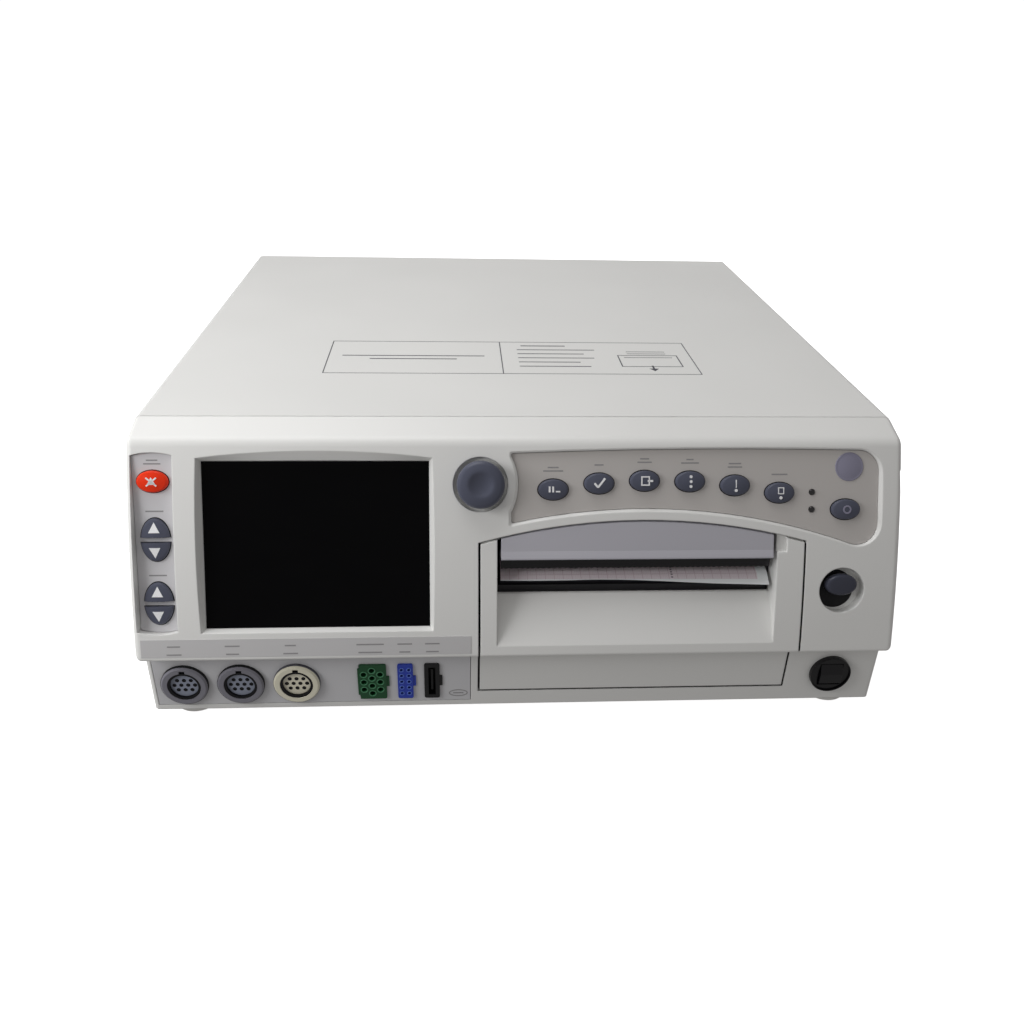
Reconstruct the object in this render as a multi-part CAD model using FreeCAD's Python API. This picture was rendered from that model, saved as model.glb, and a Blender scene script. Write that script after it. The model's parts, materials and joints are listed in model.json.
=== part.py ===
import FreeCAD, Part
import math
import os

Vector = FreeCAD.Vector

# Fetal monitor, millimetres and degrees.
# +X is to the right seen from the front, +Y to the rear, +Z up.
# The origin is under the middle of the casing, on the surface it stands on.

# Casing
wall = 3.0
seam = 0.4
edge_radius = 3.5
foot_height = 11.0
foot_chamfer = 1.5
foot_diameter = 27.0
foot_side_inset = 20.0
foot_end_inset = 32.5
lower_panel_height = 41.0
lip_overhang = 9.6
lip_radius = 1.5
base_inset = 1.5
base_corner_radius = 3.0
cover_length = 367.5
rear_recess = 5.5
rear_panel_thickness = 2.0
panel_clearance = 0.3
boss_diameter = 8.0

# Curved face: it leans back more towards its top, as part of a wide cylinder
lip_tilt = 16.283
face_radius = 581.0
band_run = 19.2
band_rise = 5.7
band_radius = 8.0
rim_wall = 2.5

# Display
display_width = 122.0
display_height = 91.6
display_bevel = 2.0
display_recess = 4.5
display_below = 16.2
display_arch = 4.5
display_above = 5.1
display_rim = 6.0
gasket_thickness = 0.8
glass_border = 3.0
glass_thickness = 2.0
lcd_border = 4.0
lcd_thickness = 9.0

# Columns of the face, from left to right
left_margin = 2.6
key_column_width = 21.8
column_gap = 12.1
knob_column_gap = 11.0
knob_recess_diameter = 30.0
right_margin = 12.8

# Keys
key_pitch = 25.3
row_key_count = 6
key_width = 16.6
key_height = 11.4
key_rise = 3.2
key_round = 1.4
key_clearance = 0.35
key_travel = 1.2
key_flange = 0.8
key_flange_thickness = 1.5
key_plate_thickness = 2.0
key_board_thickness = 1.6
key_board_gap = 0.3
key_post_diameter = 3.0
board_inset = 3.0
plate_clearance = 0.2
alarm_key_width = 16.8
alarm_key_height = 11.8
alarm_key_inset = 14.0
volume_key_width = 15.5
volume_pair_height = 23.6
volume_key_gap = 3.0
volume_key_inset = 15.0
volume_pair_shift = 1.8
column_depth_top = 1.5
column_depth_bottom = 6.0
column_bow = 1.5
column_below = 17.2
column_above = 8.3
keypad_depth = 2.0
keypad_above = 4.7
keypad_drop = 37.9
key_row_drop = 22.3
key_row_shift = 7.0
keypad_fall_left = 2.4
keypad_fall_right = 1.0
keypad_corner = 12.0
keypad_tip = 1.2
keypad_neck = 1.8
keypad_chamfer_start = 1.2
keypad_hollow_radius = 32.0
keypad_hollow_gap = 20.6
keypad_first_key = 24.8
keypad_last_key = 37.8
keypad_last_margin = 18.9
last_key_drop = 38.6
light_diameter = 3.4
light_rise = 0.9
light_spacing = 18.7
light_drop = 28.9

# Trim knob
knob_diameter = 26.0
knob_drop = 24.1
knob_rise = 9.0
knob_round = 2.5
knob_dimple_diameter = 13.2
knob_dimple_depth = 1.2
knob_recess_depth = 3.0
knob_floor = 2.0
knob_gap = 2.0
knob_travel = 1.2
knob_shaft_diameter = 6.0
shaft_clearance = 0.1
plunger_diameter = 10.0
plunger_length = 3.0
encoder_width = 15.0
encoder_back = 2.0

# Arched seam over the chart recorder, shared by the keypad and its keys
arch_radius = 350.0
drawer_under_knob = 1.3
drawer_drop = 43.9
drawer_gap = 1.2
drawer_skin = 4.0
drawer_floor_height = 9.5
drawer_foot_inset = 1.8

# Chart recorder
paper_width = 152.0
left_cheek = 12.55
right_cheek = 18.55
paper_thickness = 0.3
paper_clearance = 0.3
paper_drop = 13.0
paper_reach = 16.5
pack_length = 90.0
pack_height = 36.0
pack_gap = 6.0
pack_bend = 4.0
ramp_low = 6.7
ramp_high = 35.4
ramp_depth = 12.0
ramp_margin = 2.2
ramp_thickness = 3.0
ramp_lip_radius = 2.2
cheek_depth = 14.0
cover_drop = 21.8
cover_sink = 0.4
step_width = 5.5
step_depth = 2.5
step_drop = 6.0
tray_wall = 2.0
ear_wall = 6.0
tray_clearance = 1.5
tray_height = 46.0
tray_length = 168.0
runner_height = 4.4
runner_width = 5.0
runner_clearance = 0.3
runner_level = 12.0
ledge_thickness = 2.0
chassis_plate = 2.0
chassis_side_gap = 9.0
chassis_front = 38.0
chassis_rear_gap = 6.0
beam_height = 3.0
beam_depth = 18.0
beam_reach = 8.0
head_height = 11.0
head_gap = 0.4
head_nose = 3.0
platen_diameter = 20.0
platen_shaft = 6.0
platen_setback = 38.0
platen_drop = 20.5
gear_module = 0.9
gear_teeth = 42
pinion_teeth = 20
gear_width = 4.0
gear_side_gap = 2.4
gear_addendum = 1.0
gear_dedendum = 1.25
pressure_angle = 20.0
gear_backlash = 0.25
gear_lean = 12.0
motor_size = 27.0
motor_length = 30.0
motor_shaft = 4.0

# Drawer release
latch_diameter = 26.0
latch_depth = 7.0
latch_floor = 2.0
latch_side = 21.5
latch_margin = 30.0
latch_raise = 4.6
latch_button_width = 18.4
latch_button_height = 12.4
latch_button_raise = 3.0
latch_rise = 1.0
latch_travel = 3.0
latch_stem = 6.0
latch_collar = 9.0
latch_collar_thickness = 2.0
latch_stem_tail = 4.0
latch_tip = 3.0
lever_thickness = 4.0
lever_depth = 4.0
lever_reach = 13.0
lever_pin = 4.0
lever_pad = 5.0
lever_gap = 4.2
lever_rest_gap = 0.5

# Lower front
socket_pitch = 31.35
socket_first = 21.5
socket_level = 18.4
socket_flange_diameter = 26.0
socket_flange = 3.0
socket_body_diameter = 22.6
socket_bore_diameter = 18.6
socket_length = 16.0
socket_bore_depth = 11.0
socket_insert_recess = 1.8
socket_insert_diameter = 15.6
socket_pin_pitch = 3.8
socket_pin_diameter = 1.8
socket_pin_depth = 4.0
socket_key_width = 3.2
socket_key_depth = 1.5
socket_key_length = 6.0
socket_chamfer = 1.0
slot_socket_height = 24.4
slot_socket_gap = 6.4
slot_socket_rise = 1.2
slot_socket_length = 14.0
slot_socket_wall = 1.6
slot_socket_depth = 9.0
slot_socket_corner = 1.2
slot_tab_width = 1.6
slot_tab_height = 7.0
slot_tab_sink = 1.0
green_notch = 3.0
green_pin_pitch = 5.4
green_pin_diameter = 3.4
blue_pin_pitch = 4.2
blue_pin_diameter = 1.8
blue_pin_rows = 5
green_socket_width = 16.3
narrow_socket_width = 8.8
slot_socket_margin = 17.6
slot_lip = 0.8
panel_margin = 3.5
panel_right = 4.3
power_offset = 3.0
power_level = 19.5
power_flange_diameter = 24.0
power_flange = 2.0
power_body_diameter = 22.0
power_length = 18.0
rocker_radius = 9.0
rocker_width = 13.0
rocker_clearance = 0.35
rocker_face = 7.6
rocker_tilt = 8.0
rocker_bend = 10.0
rocker_sink = 5.6

# Inside and rear
inlet_width = 30.0
inlet_height = 48.0
inlet_depth = 26.0
inlet_flange = 2.0
inlet_well = 17.0
inlet_well_height = 17.0
inlet_pin = 2.0
inlet_pin_spacing = 7.0
inlet_earth_offset = 4.0
inlet_side = 96.0
inlet_level = 46.0
fuse_rise = 1.0
stud_diameter = 6.0
stud_length = 12.0
stud_nut = 12.0
stud_spacing = 36.0
port_width = 32.0
port_height = 13.0
port_length = 12.0
port_flange = 1.0
port_rise = 4.0
port_wall = 1.2
port_corner = 2.0
port_side = 56.0
port_pitch = 44.0
port_level = 40.0
supply_width = 96.0
supply_length = 120.0
supply_height = 44.0
supply_gap = 12.0
supply_corner = 2.0
board_width = 150.0
board_length = 150.0
board_thickness = 1.6
board_side = 16.0
board_front = 70.0
standoff_height = 10.0
standoff_diameter = 6.0
standoff_inset = 6.0
speaker_diameter = 66.0
speaker_depth = 24.0
speaker_side = 100.0
speaker_rear = 90.0
speaker_rim = 4.0
speaker_magnet = 40.0
grille_count = 7
grille_pitch = 7.0
grille_width = 3.0
vent_count = 9
vent_pitch = 9.0
vent_width = 4.0
vent_height = 40.0
vent_level = 112.0
screw_head_diameter = 7.0
screw_head = 2.4
screw_diameter = 3.5
screw_length = 7.0
screw_inset = 12.0


# Places worked out from the sizes above
recess_width = display_width + 2 * display_bevel
keypad_width = keypad_first_key + (row_key_count - 1) * key_pitch + keypad_last_key + keypad_last_margin
to_display = left_margin + key_column_width + column_gap
to_knob = to_display + recess_width + knob_column_gap + knob_recess_diameter / 2
keypad_row = knob_recess_diameter / 2 + keypad_width + right_margin
recorder_row = left_cheek + paper_width + right_cheek + latch_side + latch_margin - drawer_under_knob
case_width = to_knob + max(keypad_row, recorder_row)
half_width = case_width / 2
face_length = display_below + display_height + 2 * display_bevel + display_arch + display_above
start_angle = math.radians(lip_tilt)
end_angle = start_angle + face_length / face_radius
lip_z = foot_height + lower_panel_height
face_run = face_radius * (math.cos(start_angle) - math.cos(end_angle))
face_rise = face_radius * (math.sin(end_angle) - math.sin(start_angle))
case_depth = face_run + band_run + cover_length
case_top = lip_z + face_rise + band_rise
front_y = -case_depth / 2
rear_y = case_depth / 2
seam_y = front_y + face_run + band_run
base_front = front_y + lip_overhang
floor_z = foot_height + wall
axis_y = front_y + face_radius * math.cos(start_angle)
axis_z = lip_z - face_radius * math.sin(start_angle)

key_column_x = -half_width + left_margin + key_column_width / 2
display_x = -half_width + to_display + recess_width / 2
knob_x = -half_width + to_knob
keypad_left = knob_x + knob_recess_diameter / 2
keypad_right = keypad_left + keypad_width
drawer_left = knob_x - drawer_under_knob
paper_x = drawer_left + left_cheek + paper_width / 2
drawer_right = drawer_left + left_cheek + paper_width + right_cheek
arch_x = (drawer_left + drawer_right) / 2

keypad_top = face_length - keypad_above
key_row_apex = face_length - key_row_drop
keypad_apex = face_length - keypad_drop
drawer_apex = face_length - drawer_drop
knob_s = face_length - knob_drop
last_key_s = face_length - last_key_drop
light_high_s = face_length - light_drop
cover_low = drawer_apex - cover_drop
column_low = column_below
column_high = face_length - column_above
alarm_key_s = column_high - alarm_key_inset
low_pair_s = column_low + volume_key_inset
high_pair_s = (alarm_key_s + low_pair_s) / 2 + volume_pair_shift
far = 2 * lower_panel_height


# Small shape helpers
def box(x0, x1, y0, y1, z0, z1):
    return Part.makeBox(x1 - x0, y1 - y0, z1 - z0, Vector(x0, y0, z0))


def rod(start, direction, radius, length):
    return Part.makeCylinder(radius, length, start, direction)


def fuse_all(shapes):
    whole = shapes[0]
    for shape in shapes[1:]:
        whole = whole.fuse(shape)
    return whole.removeSplitter()


def line(first, second):
    return Part.makeLine(first, second)


def arc(first, middle, last):
    return Part.Arc(first, middle, last).toShape()


def side_prism(points, x0, x1):
    corners = [Vector(x0, y, z) for y, z in points]
    face = Part.Face(Part.makePolygon(corners + corners[:1]))
    return face.extrude(Vector(x1 - x0, 0, 0))


def placed(shape, frame):
    moved = shape.copy()
    moved.Placement = frame.multiply(moved.Placement)
    return moved


def level_edges(shape, level):
    def flat(edge):
        low = abs(edge.BoundBox.ZMin - level) < 1e-4
        return low and abs(edge.BoundBox.ZMax - level) < 1e-4
    return [edge for edge in shape.Edges if flat(edge)]


def upright_edges(shape):
    def upright(edge):
        box_of_edge = edge.BoundBox
        return box_of_edge.XLength < 1e-4 and box_of_edge.YLength < 1e-4
    return [edge for edge in shape.Edges if upright(edge)]


# The face: points on it, and flat frames laid on it (X right, Y up the face, Z outwards)
def face_point(s, depth=0.0):
    angle = start_angle + s / face_radius
    radius = face_radius - depth
    return axis_y - radius * math.cos(angle), axis_z + radius * math.sin(angle)


def flat_frame(x, s_low, s_high, depth_low, depth_high):
    y_low, z_low = face_point(s_low, depth_low)
    y_high, z_high = face_point(s_high, depth_high)
    tilt = math.degrees(math.atan2(y_high - y_low, z_high - z_low))
    middle = Vector(x, (y_low + y_high) / 2, (z_low + z_high) / 2)
    return FreeCAD.Placement(middle, FreeCAD.Rotation(Vector(1, 0, 0), 90 - tilt))


def arch_s(x, apex):
    return apex - arch_radius + math.sqrt(arch_radius ** 2 - (x - arch_x) ** 2)


def key_row_s(x):
    return arch_s(x - key_row_shift, key_row_apex)


def ellipse_prism(u, v, width, height, low, high):
    centre = Vector(u, v, low)
    along = Vector(u + width / 2, v, low)
    across = Vector(u, v + height / 2, low)
    if width < height:
        along, across = across, Vector(u - width / 2, v, low)
    wire = Part.Wire(Part.Ellipse(along, across, centre).toShape())
    return Part.Face(wire).extrude(Vector(0, 0, high - low))


def bowed_wire(width, low, high, bow_top, bow_bottom, level):
    half = width / 2
    corners = [Vector(-half, low, level), Vector(half, low, level)]
    corners += [Vector(half, high, level), Vector(-half, high, level)]
    bottom = line(corners[0], corners[1])
    if bow_bottom > 0:
        bottom = arc(corners[0], Vector(0, low - bow_bottom, level), corners[1])
    top = line(corners[2], corners[3])
    if bow_top > 0:
        top = arc(corners[2], Vector(0, high + bow_top, level), corners[3])
    return Part.Wire([bottom, line(corners[1], corners[2]), top, line(corners[3], corners[0])])


def lift(wire, height):
    return Part.Face(wire).extrude(Vector(0, 0, height))


# Outer form of the front above the lip, and the same form drawn in by a depth
def face_profile(depth, low_z, back_y):
    radius = face_radius - depth
    slope = math.atan2(band_rise, band_run)
    top_y, top_z = face_point(face_length)
    start_y = top_y + depth * math.sin(slope)
    start_z = top_z - depth * math.cos(slope)
    run_y = start_y - axis_y
    run_z = start_z - axis_z
    half_b = run_y * math.cos(slope) + run_z * math.sin(slope)
    gap = half_b ** 2 - (run_y ** 2 + run_z ** 2 - radius ** 2)
    step = -half_b - math.copysign(math.sqrt(gap), -half_b)
    crest = Vector(0, start_y + step * math.cos(slope), start_z + step * math.sin(slope))
    low_angle = math.asin((low_z - axis_z) / radius)
    high_angle = math.atan2(crest.z - axis_z, axis_y - crest.y)
    middle_angle = (low_angle + high_angle) / 2
    low = Vector(0, axis_y - radius * math.cos(low_angle), low_z)
    middle = Vector(0, axis_y - radius * math.cos(middle_angle), axis_z + radius * math.sin(middle_angle))
    back_z = crest.z + (back_y - crest.y) * math.tan(slope)
    back_high = Vector(0, back_y, back_z)
    back_low = Vector(0, back_y, low_z)
    edges = [arc(low, middle, crest), line(crest, back_high), line(back_high, back_low),
             line(back_low, low)]
    return Part.Wire(edges)


def face_block(depth, low_z, back_y, half):
    face = Part.Face(face_profile(depth, low_z, back_y))
    face.translate(Vector(-half, 0, 0))
    return face.extrude(Vector(2 * half, 0, 0))


def rounded_front():
    block = face_block(0, lip_z, seam_y, half_width)
    top_y, top_z = face_point(face_length)

    def near(edge, y, z):
        middle = edge.CenterOfMass
        return math.hypot(middle.y - y, middle.z - z) < 1e-3 and edge.BoundBox.XLength > half_width

    crest = [edge for edge in block.Edges if near(edge, top_y, top_z)]
    block = block.makeFillet(band_radius, crest)
    lip = [edge for edge in block.Edges if near(edge, front_y, lip_z)]
    block = block.makeFillet(lip_radius, lip)

    def on_side(edge):
        bounds = edge.BoundBox
        sideways = bounds.XLength < 1e-4 and abs(abs(bounds.XMin) - half_width) < 1e-4
        return sideways and bounds.YMin < seam_y - 1e-3 and bounds.ZMax > lip_z + lip_radius + 1e-3

    sides = [edge for edge in block.Edges if on_side(edge)]
    return block.makeFillet(edge_radius, sides)


front_mass = rounded_front()


def underside(thickness):
    inner = half_width - wall
    return box(-inner, inner, base_front + thickness, seam_y + wall, lip_z - wall, lip_z + 2 * wall)


# Opening that the recorder fills, drawn in by a gap
def arch_prism(gap, low_z):
    left = drawer_left + gap
    right = drawer_right - gap
    side_z = face_point(arch_s(left, drawer_apex))[1] - gap
    apex_z = face_point(drawer_apex)[1] - gap
    start = front_y - far
    corners = [Vector(left, start, low_z), Vector(left, start, side_z)]
    corners += [Vector(right, start, side_z), Vector(right, start, low_z)]
    top = arc(corners[1], Vector(arch_x, start, apex_z), corners[2])
    wire = Part.Wire([line(corners[0], corners[1]), top, line(corners[2], corners[3]),
                      line(corners[3], corners[0])])
    return Part.Face(wire).extrude(Vector(0, seam_y - start, 0))


drawer_low = foot_height + drawer_floor_height

# Frames of the recessed groups; Z = 0 is the floor of each recess
column_frame = flat_frame(key_column_x, column_low, column_high, column_depth_bottom, column_depth_top)
column_mid = (column_low + column_high) / 2
keypad_low = arch_s(keypad_right, keypad_apex)
keypad_mid = (keypad_low + keypad_top) / 2
keypad_frame = flat_frame(0, keypad_low, keypad_top, keypad_depth, keypad_depth)
display_low = display_below + display_bevel
display_high = display_low + display_height
display_frame = flat_frame(display_x, display_low, display_high, display_recess, display_recess)
knob_reach = knob_recess_diameter / 2
knob_frame = flat_frame(knob_x, knob_s - knob_reach, knob_s + knob_reach, knob_recess_depth,
                        knob_recess_depth)
latch_x = drawer_right + latch_side
latch_s = arch_s(latch_x, keypad_apex) / 2 + latch_raise
latch_reach = latch_diameter / 2
latch_frame = flat_frame(latch_x, latch_s - latch_reach, latch_s + latch_reach, latch_depth, latch_depth)


def column_block(grow, low, high):
    half = (column_high - column_low) / 2 + grow
    wire = bowed_wire(key_column_width + 2 * grow, -half, half, column_bow, column_bow, low)
    return lift(wire, high - low)


def keypad_block(grow, low, high):
    top = keypad_top - keypad_mid + grow
    right = keypad_right + grow
    left = keypad_left + keypad_neck - grow
    radius = arch_radius - grow
    arch_v = keypad_apex - arch_radius - keypad_mid
    hollow = keypad_hollow_radius - grow
    hollow_x = knob_x + keypad_hollow_gap - keypad_hollow_radius
    hollow_v = knob_s - keypad_mid
    half_hollow = math.sqrt(hollow ** 2 - (left - hollow_x) ** 2)

    def arch_corner(x):
        return Vector(x, arch_v + math.sqrt(radius ** 2 - (x - arch_x) ** 2), low)

    low_left = arch_corner(left)
    low_right = arch_corner(right)
    apex = arch_corner(arch_x)
    hollow_low = Vector(left, hollow_v - half_hollow, low)
    hollow_mid = Vector(hollow_x + hollow, hollow_v, low)
    hollow_high = Vector(left, hollow_v + half_hollow, low)
    top_left = Vector(left, top - keypad_fall_left, low)
    top_right = Vector(right, top - keypad_fall_right, low)
    crest_share = 1 / (1 + math.sqrt(keypad_fall_right / keypad_fall_left))
    crest = Vector(left + (right - left) * crest_share, top, low)
    edges = [line(low_left, hollow_low), arc(hollow_low, hollow_mid, hollow_high)]
    edges += [line(hollow_high, top_left), arc(top_left, crest, top_right), line(top_right, low_right)]
    edges.append(arc(low_right, apex, low_left))
    block = lift(Part.Wire(edges), high - low)

    def near(points):
        def close(edge):
            middle = edge.CenterOfMass
            return min(math.hypot(middle.x - point.x, middle.y - point.y) for point in points) < 1e-3
        return [edge for edge in upright_edges(block) if close(edge)]

    block = block.makeFillet(keypad_corner + grow, near([top_right, low_right]))
    return block.makeFillet(keypad_tip, near([top_left, low_left]))


def level_wire(block, level):
    def flat(face):
        bounds = face.BoundBox
        return abs(bounds.ZMin - level) + abs(bounds.ZMax - level) < 1e-4
    return [face for face in block.Faces if flat(face)][0].OuterWire


def keypad_cut():
    flare = far / 10
    straight = keypad_block(0, -key_plate_thickness, keypad_chamfer_start)
    inner = level_wire(straight, keypad_chamfer_start)
    outer_level = keypad_chamfer_start + flare
    outer = level_wire(keypad_block(flare, outer_level, outer_level + wall), outer_level)
    return straight.fuse(Part.makeLoft([inner, outer], True, True))


def display_cut():
    half = display_height / 2
    flare = 2 * display_bevel
    level = 2 * display_recess
    inner = bowed_wire(display_width, -half, half, display_arch / 100, 0, 0)
    outer = bowed_wire(display_width + 2 * flare, -half - flare, half + flare, 2 * display_arch, 0, level)
    return Part.makeLoft([inner, outer], True, True)


def display_block(grow, low, high):
    half_u = display_width / 2 + grow
    half_v = display_height / 2 + grow
    return box(-half_u, half_u, -half_v, half_v, low, high)


def disc(diameter, low, high):
    return rod(Vector(0, 0, low), Vector(0, 0, 1), diameter / 2, high - low)


nodes = {}

# Front bezel: a shell behind the curved face, with the recesses let into it
out = far / 4
stem_frame = latch_frame.multiply(FreeCAD.Placement(Vector(0, latch_button_raise, 0), FreeCAD.Rotation()))
rims = [placed(column_block(rim_wall, -key_plate_thickness, out), column_frame)]
rims.append(placed(keypad_block(rim_wall, -key_plate_thickness, out), keypad_frame))
rims.append(placed(display_block(display_rim, 0, out), display_frame))
rims.append(placed(disc(knob_recess_diameter + 2 * rim_wall, -knob_floor, out), knob_frame))
rims.append(placed(disc(latch_diameter + 2 * rim_wall, -latch_floor, out), latch_frame))
cuts = [placed(column_block(0, -key_plate_thickness, out), column_frame)]
cuts.append(placed(keypad_cut(), keypad_frame))
cuts.append(placed(display_cut(), display_frame))
cuts.append(placed(disc(knob_recess_diameter, 0, out), knob_frame))
cuts.append(placed(disc(knob_shaft_diameter + 2 * key_clearance, -out, out), knob_frame))
cuts.append(placed(disc(latch_diameter, 0, out), latch_frame))
cuts.append(placed(disc(latch_stem + 2 * key_clearance, -out, out), stem_frame))
cavity = face_block(wall, lip_z + wall, seam_y + wall, half_width - wall).cut(rims)
nodes["front_bezel"] = front_mass.cut([cavity, underside(wall), arch_prism(0, lip_z - wall)] + cuts)


# Top cover: roof and both sides in one piece, open below, at the front and at the rear
def long_top_edges(shape, top):
    def along(edge):
        bounds = edge.BoundBox
        return bounds.XLength < 1e-4 and bounds.ZLength < 1e-4 and abs(bounds.ZMin - top) < 1e-4
    return [edge for edge in shape.Edges if along(edge)]


panel_out = rear_y - rear_recess
panel_in = panel_out - rear_panel_thickness
inner_x = half_width - wall
cover_outer = box(-half_width, half_width, seam_y + seam, rear_y, lip_z, case_top)
cover_outer = cover_outer.makeFillet(edge_radius, long_top_edges(cover_outer, case_top))
cover_inner = box(-inner_x, inner_x, seam_y - wall, rear_y + wall, lip_z - wall, case_top - wall)
cover_inner = cover_inner.makeFillet(edge_radius - wall, long_top_edges(cover_inner, case_top - wall))
top_cover = cover_outer.cut(cover_inner)
screw_places = []
for side in (-1, 1):
    for level in (lip_z + screw_inset, case_top - 2 * screw_inset):
        screw_places.append((side, side * (inner_x - boss_diameter / 2 - panel_clearance), level))
for side, x, level in screw_places:
    reach = sorted([side * inner_x, x - side * boss_diameter / 2])
    boss = box(reach[0], reach[1], panel_in - screw_length, panel_in, level - boss_diameter / 2,
               level + boss_diameter / 2)
    hole = rod(Vector(x, panel_in - screw_length, level), Vector(0, 1, 0), screw_diameter / 2, screw_length)
    top_cover = top_cover.fuse(boss).cut(hole)
nodes["top_cover"] = top_cover.removeSplitter()

# Base tray: floor, sides and the lower front wall
base_half = half_width - base_inset
base_inner = base_half - wall
base_top = lip_z - seam
base_outer = box(-base_half, base_half, base_front, rear_y, foot_height, base_top)
front_corners = [edge for edge in upright_edges(base_outer) if edge.CenterOfMass.y < 0]
base_outer = base_outer.makeFillet(base_corner_radius, front_corners)
base_tray = base_outer.cut(box(-base_inner, base_inner, base_front + wall, rear_y + wall, floor_z,
                               base_top + wall))
panel_left_x = -base_half + panel_margin
panel_right_x = drawer_left - panel_right
panel_low = foot_height + panel_margin
panel_high = base_top - panel_margin / 2


def connector_opening(grow, front, back):
    return box(panel_left_x - grow, panel_right_x + grow, front, back, panel_low - grow, panel_high + grow)


power_x = latch_x + power_offset
power_z = foot_height + power_level
rearward = Vector(0, 1, 0)
speaker_x = -half_width + speaker_side
speaker_y = rear_y - speaker_rear
base_tray = base_tray.cut(connector_opening(panel_clearance, base_front - wall, base_front + 2 * wall))
drawer_foot_right = drawer_right - drawer_foot_inset
base_tray = base_tray.cut(box(drawer_left, drawer_foot_right, base_front - wall, base_front + 2 * wall,
                              drawer_low, lip_z))
base_tray = base_tray.cut(rod(Vector(power_x, base_front - wall, power_z), rearward,
                              power_body_diameter / 2 + panel_clearance, 3 * wall))
for index in range(grille_count):
    slot_y = speaker_y + (index - (grille_count - 1) / 2) * grille_pitch
    half = math.sqrt((speaker_diameter / 2 - wall) ** 2 - (slot_y - speaker_y) ** 2)
    slot = box(speaker_x - half, speaker_x + half, slot_y - grille_width / 2, slot_y + grille_width / 2,
               foot_height - wall, floor_z + wall)
    base_tray = base_tray.cut(slot)

# Rubber feet
feet = []
for side in (-1, 1):
    for foot_y in (front_y + foot_end_inset, rear_y - foot_end_inset):
        foot = rod(Vector(side * (half_width - foot_side_inset), foot_y, 0), Vector(0, 0, 1),
                   foot_diameter / 2, foot_height)
        feet.append(foot.makeChamfer(foot_chamfer, level_edges(foot, 0)))
nodes["rubber_feet"] = Part.makeCompound(feet)

# Rear panel with its vents, and the screws that hold it
lower_half = base_inner - panel_clearance
upper_half = inner_x - panel_clearance
upper_top = case_top - wall - panel_clearance
rear_lower = box(-lower_half, lower_half, panel_in, panel_out, floor_z, lip_z)
rear_upper = box(-upper_half, upper_half, panel_in, panel_out, lip_z, upper_top)
top_corners = [edge for edge in rear_upper.Edges if edge.BoundBox.YLength > 1e-4
               and edge.BoundBox.XLength < 1e-4 and edge.CenterOfMass.z > upper_top - 1e-3]
rear_upper = rear_upper.makeFillet(edge_radius, top_corners)
rear_panel = rear_lower.fuse(rear_upper).removeSplitter()
for index in range(vent_count):
    vent_x = (index - (vent_count - 1) / 2) * vent_pitch
    rear_panel = rear_panel.cut(box(vent_x - vent_width / 2, vent_x + vent_width / 2, panel_in - wall,
                                    panel_out + wall,
                                    vent_level, vent_level + vent_height))
screws = []
for side, x, level in screw_places:
    rear_panel = rear_panel.cut(rod(Vector(x, panel_in - wall, level), rearward,
                                    screw_diameter / 2 + panel_clearance, 3 * wall))
    shank = rod(Vector(x, panel_in - screw_length + wall, level), rearward,
                screw_diameter / 2 - shaft_clearance, screw_length + rear_panel_thickness - wall)
    head = rod(Vector(x, panel_out, level), rearward, screw_head_diameter / 2, screw_head)
    screws.append(shank.fuse(head).removeSplitter())
nodes["rear_screws"] = Part.makeCompound(screws)

# Mains inlet with its fuse drawer, earth stud and data ports
inlet_x = half_width - inlet_side
inlet_z = foot_height + inlet_level
inlet_body = box(inlet_x - inlet_width / 2, inlet_x + inlet_width / 2, panel_out - inlet_depth, panel_out,
                 inlet_z - inlet_height / 2, inlet_z + inlet_height / 2)
rear_panel = rear_panel.cut(box(inlet_x - inlet_width / 2 - panel_clearance,
                                inlet_x + inlet_width / 2 + panel_clearance,
                                panel_in - wall, panel_out + wall,
                                inlet_z - inlet_height / 2 - panel_clearance,
                                inlet_z + inlet_height / 2 + panel_clearance))
flange_x = inlet_width / 2 + wall
flange_z = inlet_height / 2 + wall
inlet = inlet_body.fuse(box(inlet_x - flange_x, inlet_x + flange_x, panel_out, panel_out + inlet_flange,
                            inlet_z - flange_z, inlet_z + flange_z))
well_half = inlet_width / 2 - wall
well_low = inlet_z - inlet_height / 2 + wall
well_high = well_low + inlet_well_height
inlet = inlet.cut(box(inlet_x - well_half, inlet_x + well_half, panel_out + inlet_flange - inlet_well,
                      panel_out + 2 * inlet_flange, well_low, well_high))
well_z = (well_low + well_high) / 2
for pin_side in (-1, 0, 1):
    pin_x = inlet_x + pin_side * inlet_pin_spacing
    pin_z = well_z + (0.5 - abs(pin_side)) * inlet_earth_offset
    inlet = inlet.fuse(box(pin_x - inlet_pin / 2, pin_x + inlet_pin / 2,
                           panel_out + inlet_flange - inlet_well,
                           panel_out - inlet_flange, pin_z - inlet_pin, pin_z + inlet_pin))
inlet = inlet.fuse(box(inlet_x - well_half, inlet_x + well_half, panel_out + inlet_flange,
                       panel_out + inlet_flange + fuse_rise, well_high + wall, inlet_z + inlet_height / 2))
nodes["mains_inlet"] = inlet.removeSplitter()

stud_x = inlet_x - stud_spacing
stud_start = Vector(stud_x, panel_out + rear_recess - panel_clearance - stud_length, inlet_z)
rear_panel = rear_panel.cut(rod(Vector(stud_x, panel_in - wall, inlet_z), rearward,
                                stud_diameter / 2 + shaft_clearance, 3 * wall))
hexagon = [Vector(stud_x + stud_nut / 2 * math.cos(math.radians(60 * k)), panel_out,
                  inlet_z + stud_nut / 2 * math.sin(math.radians(60 * k))) for k in range(7)]
nut = Part.Face(Part.makePolygon(hexagon)).extrude(Vector(0, wall, 0))
nodes["earth_stud"] = rod(stud_start, rearward, stud_diameter / 2, stud_length).fuse(nut).removeSplitter()

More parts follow.
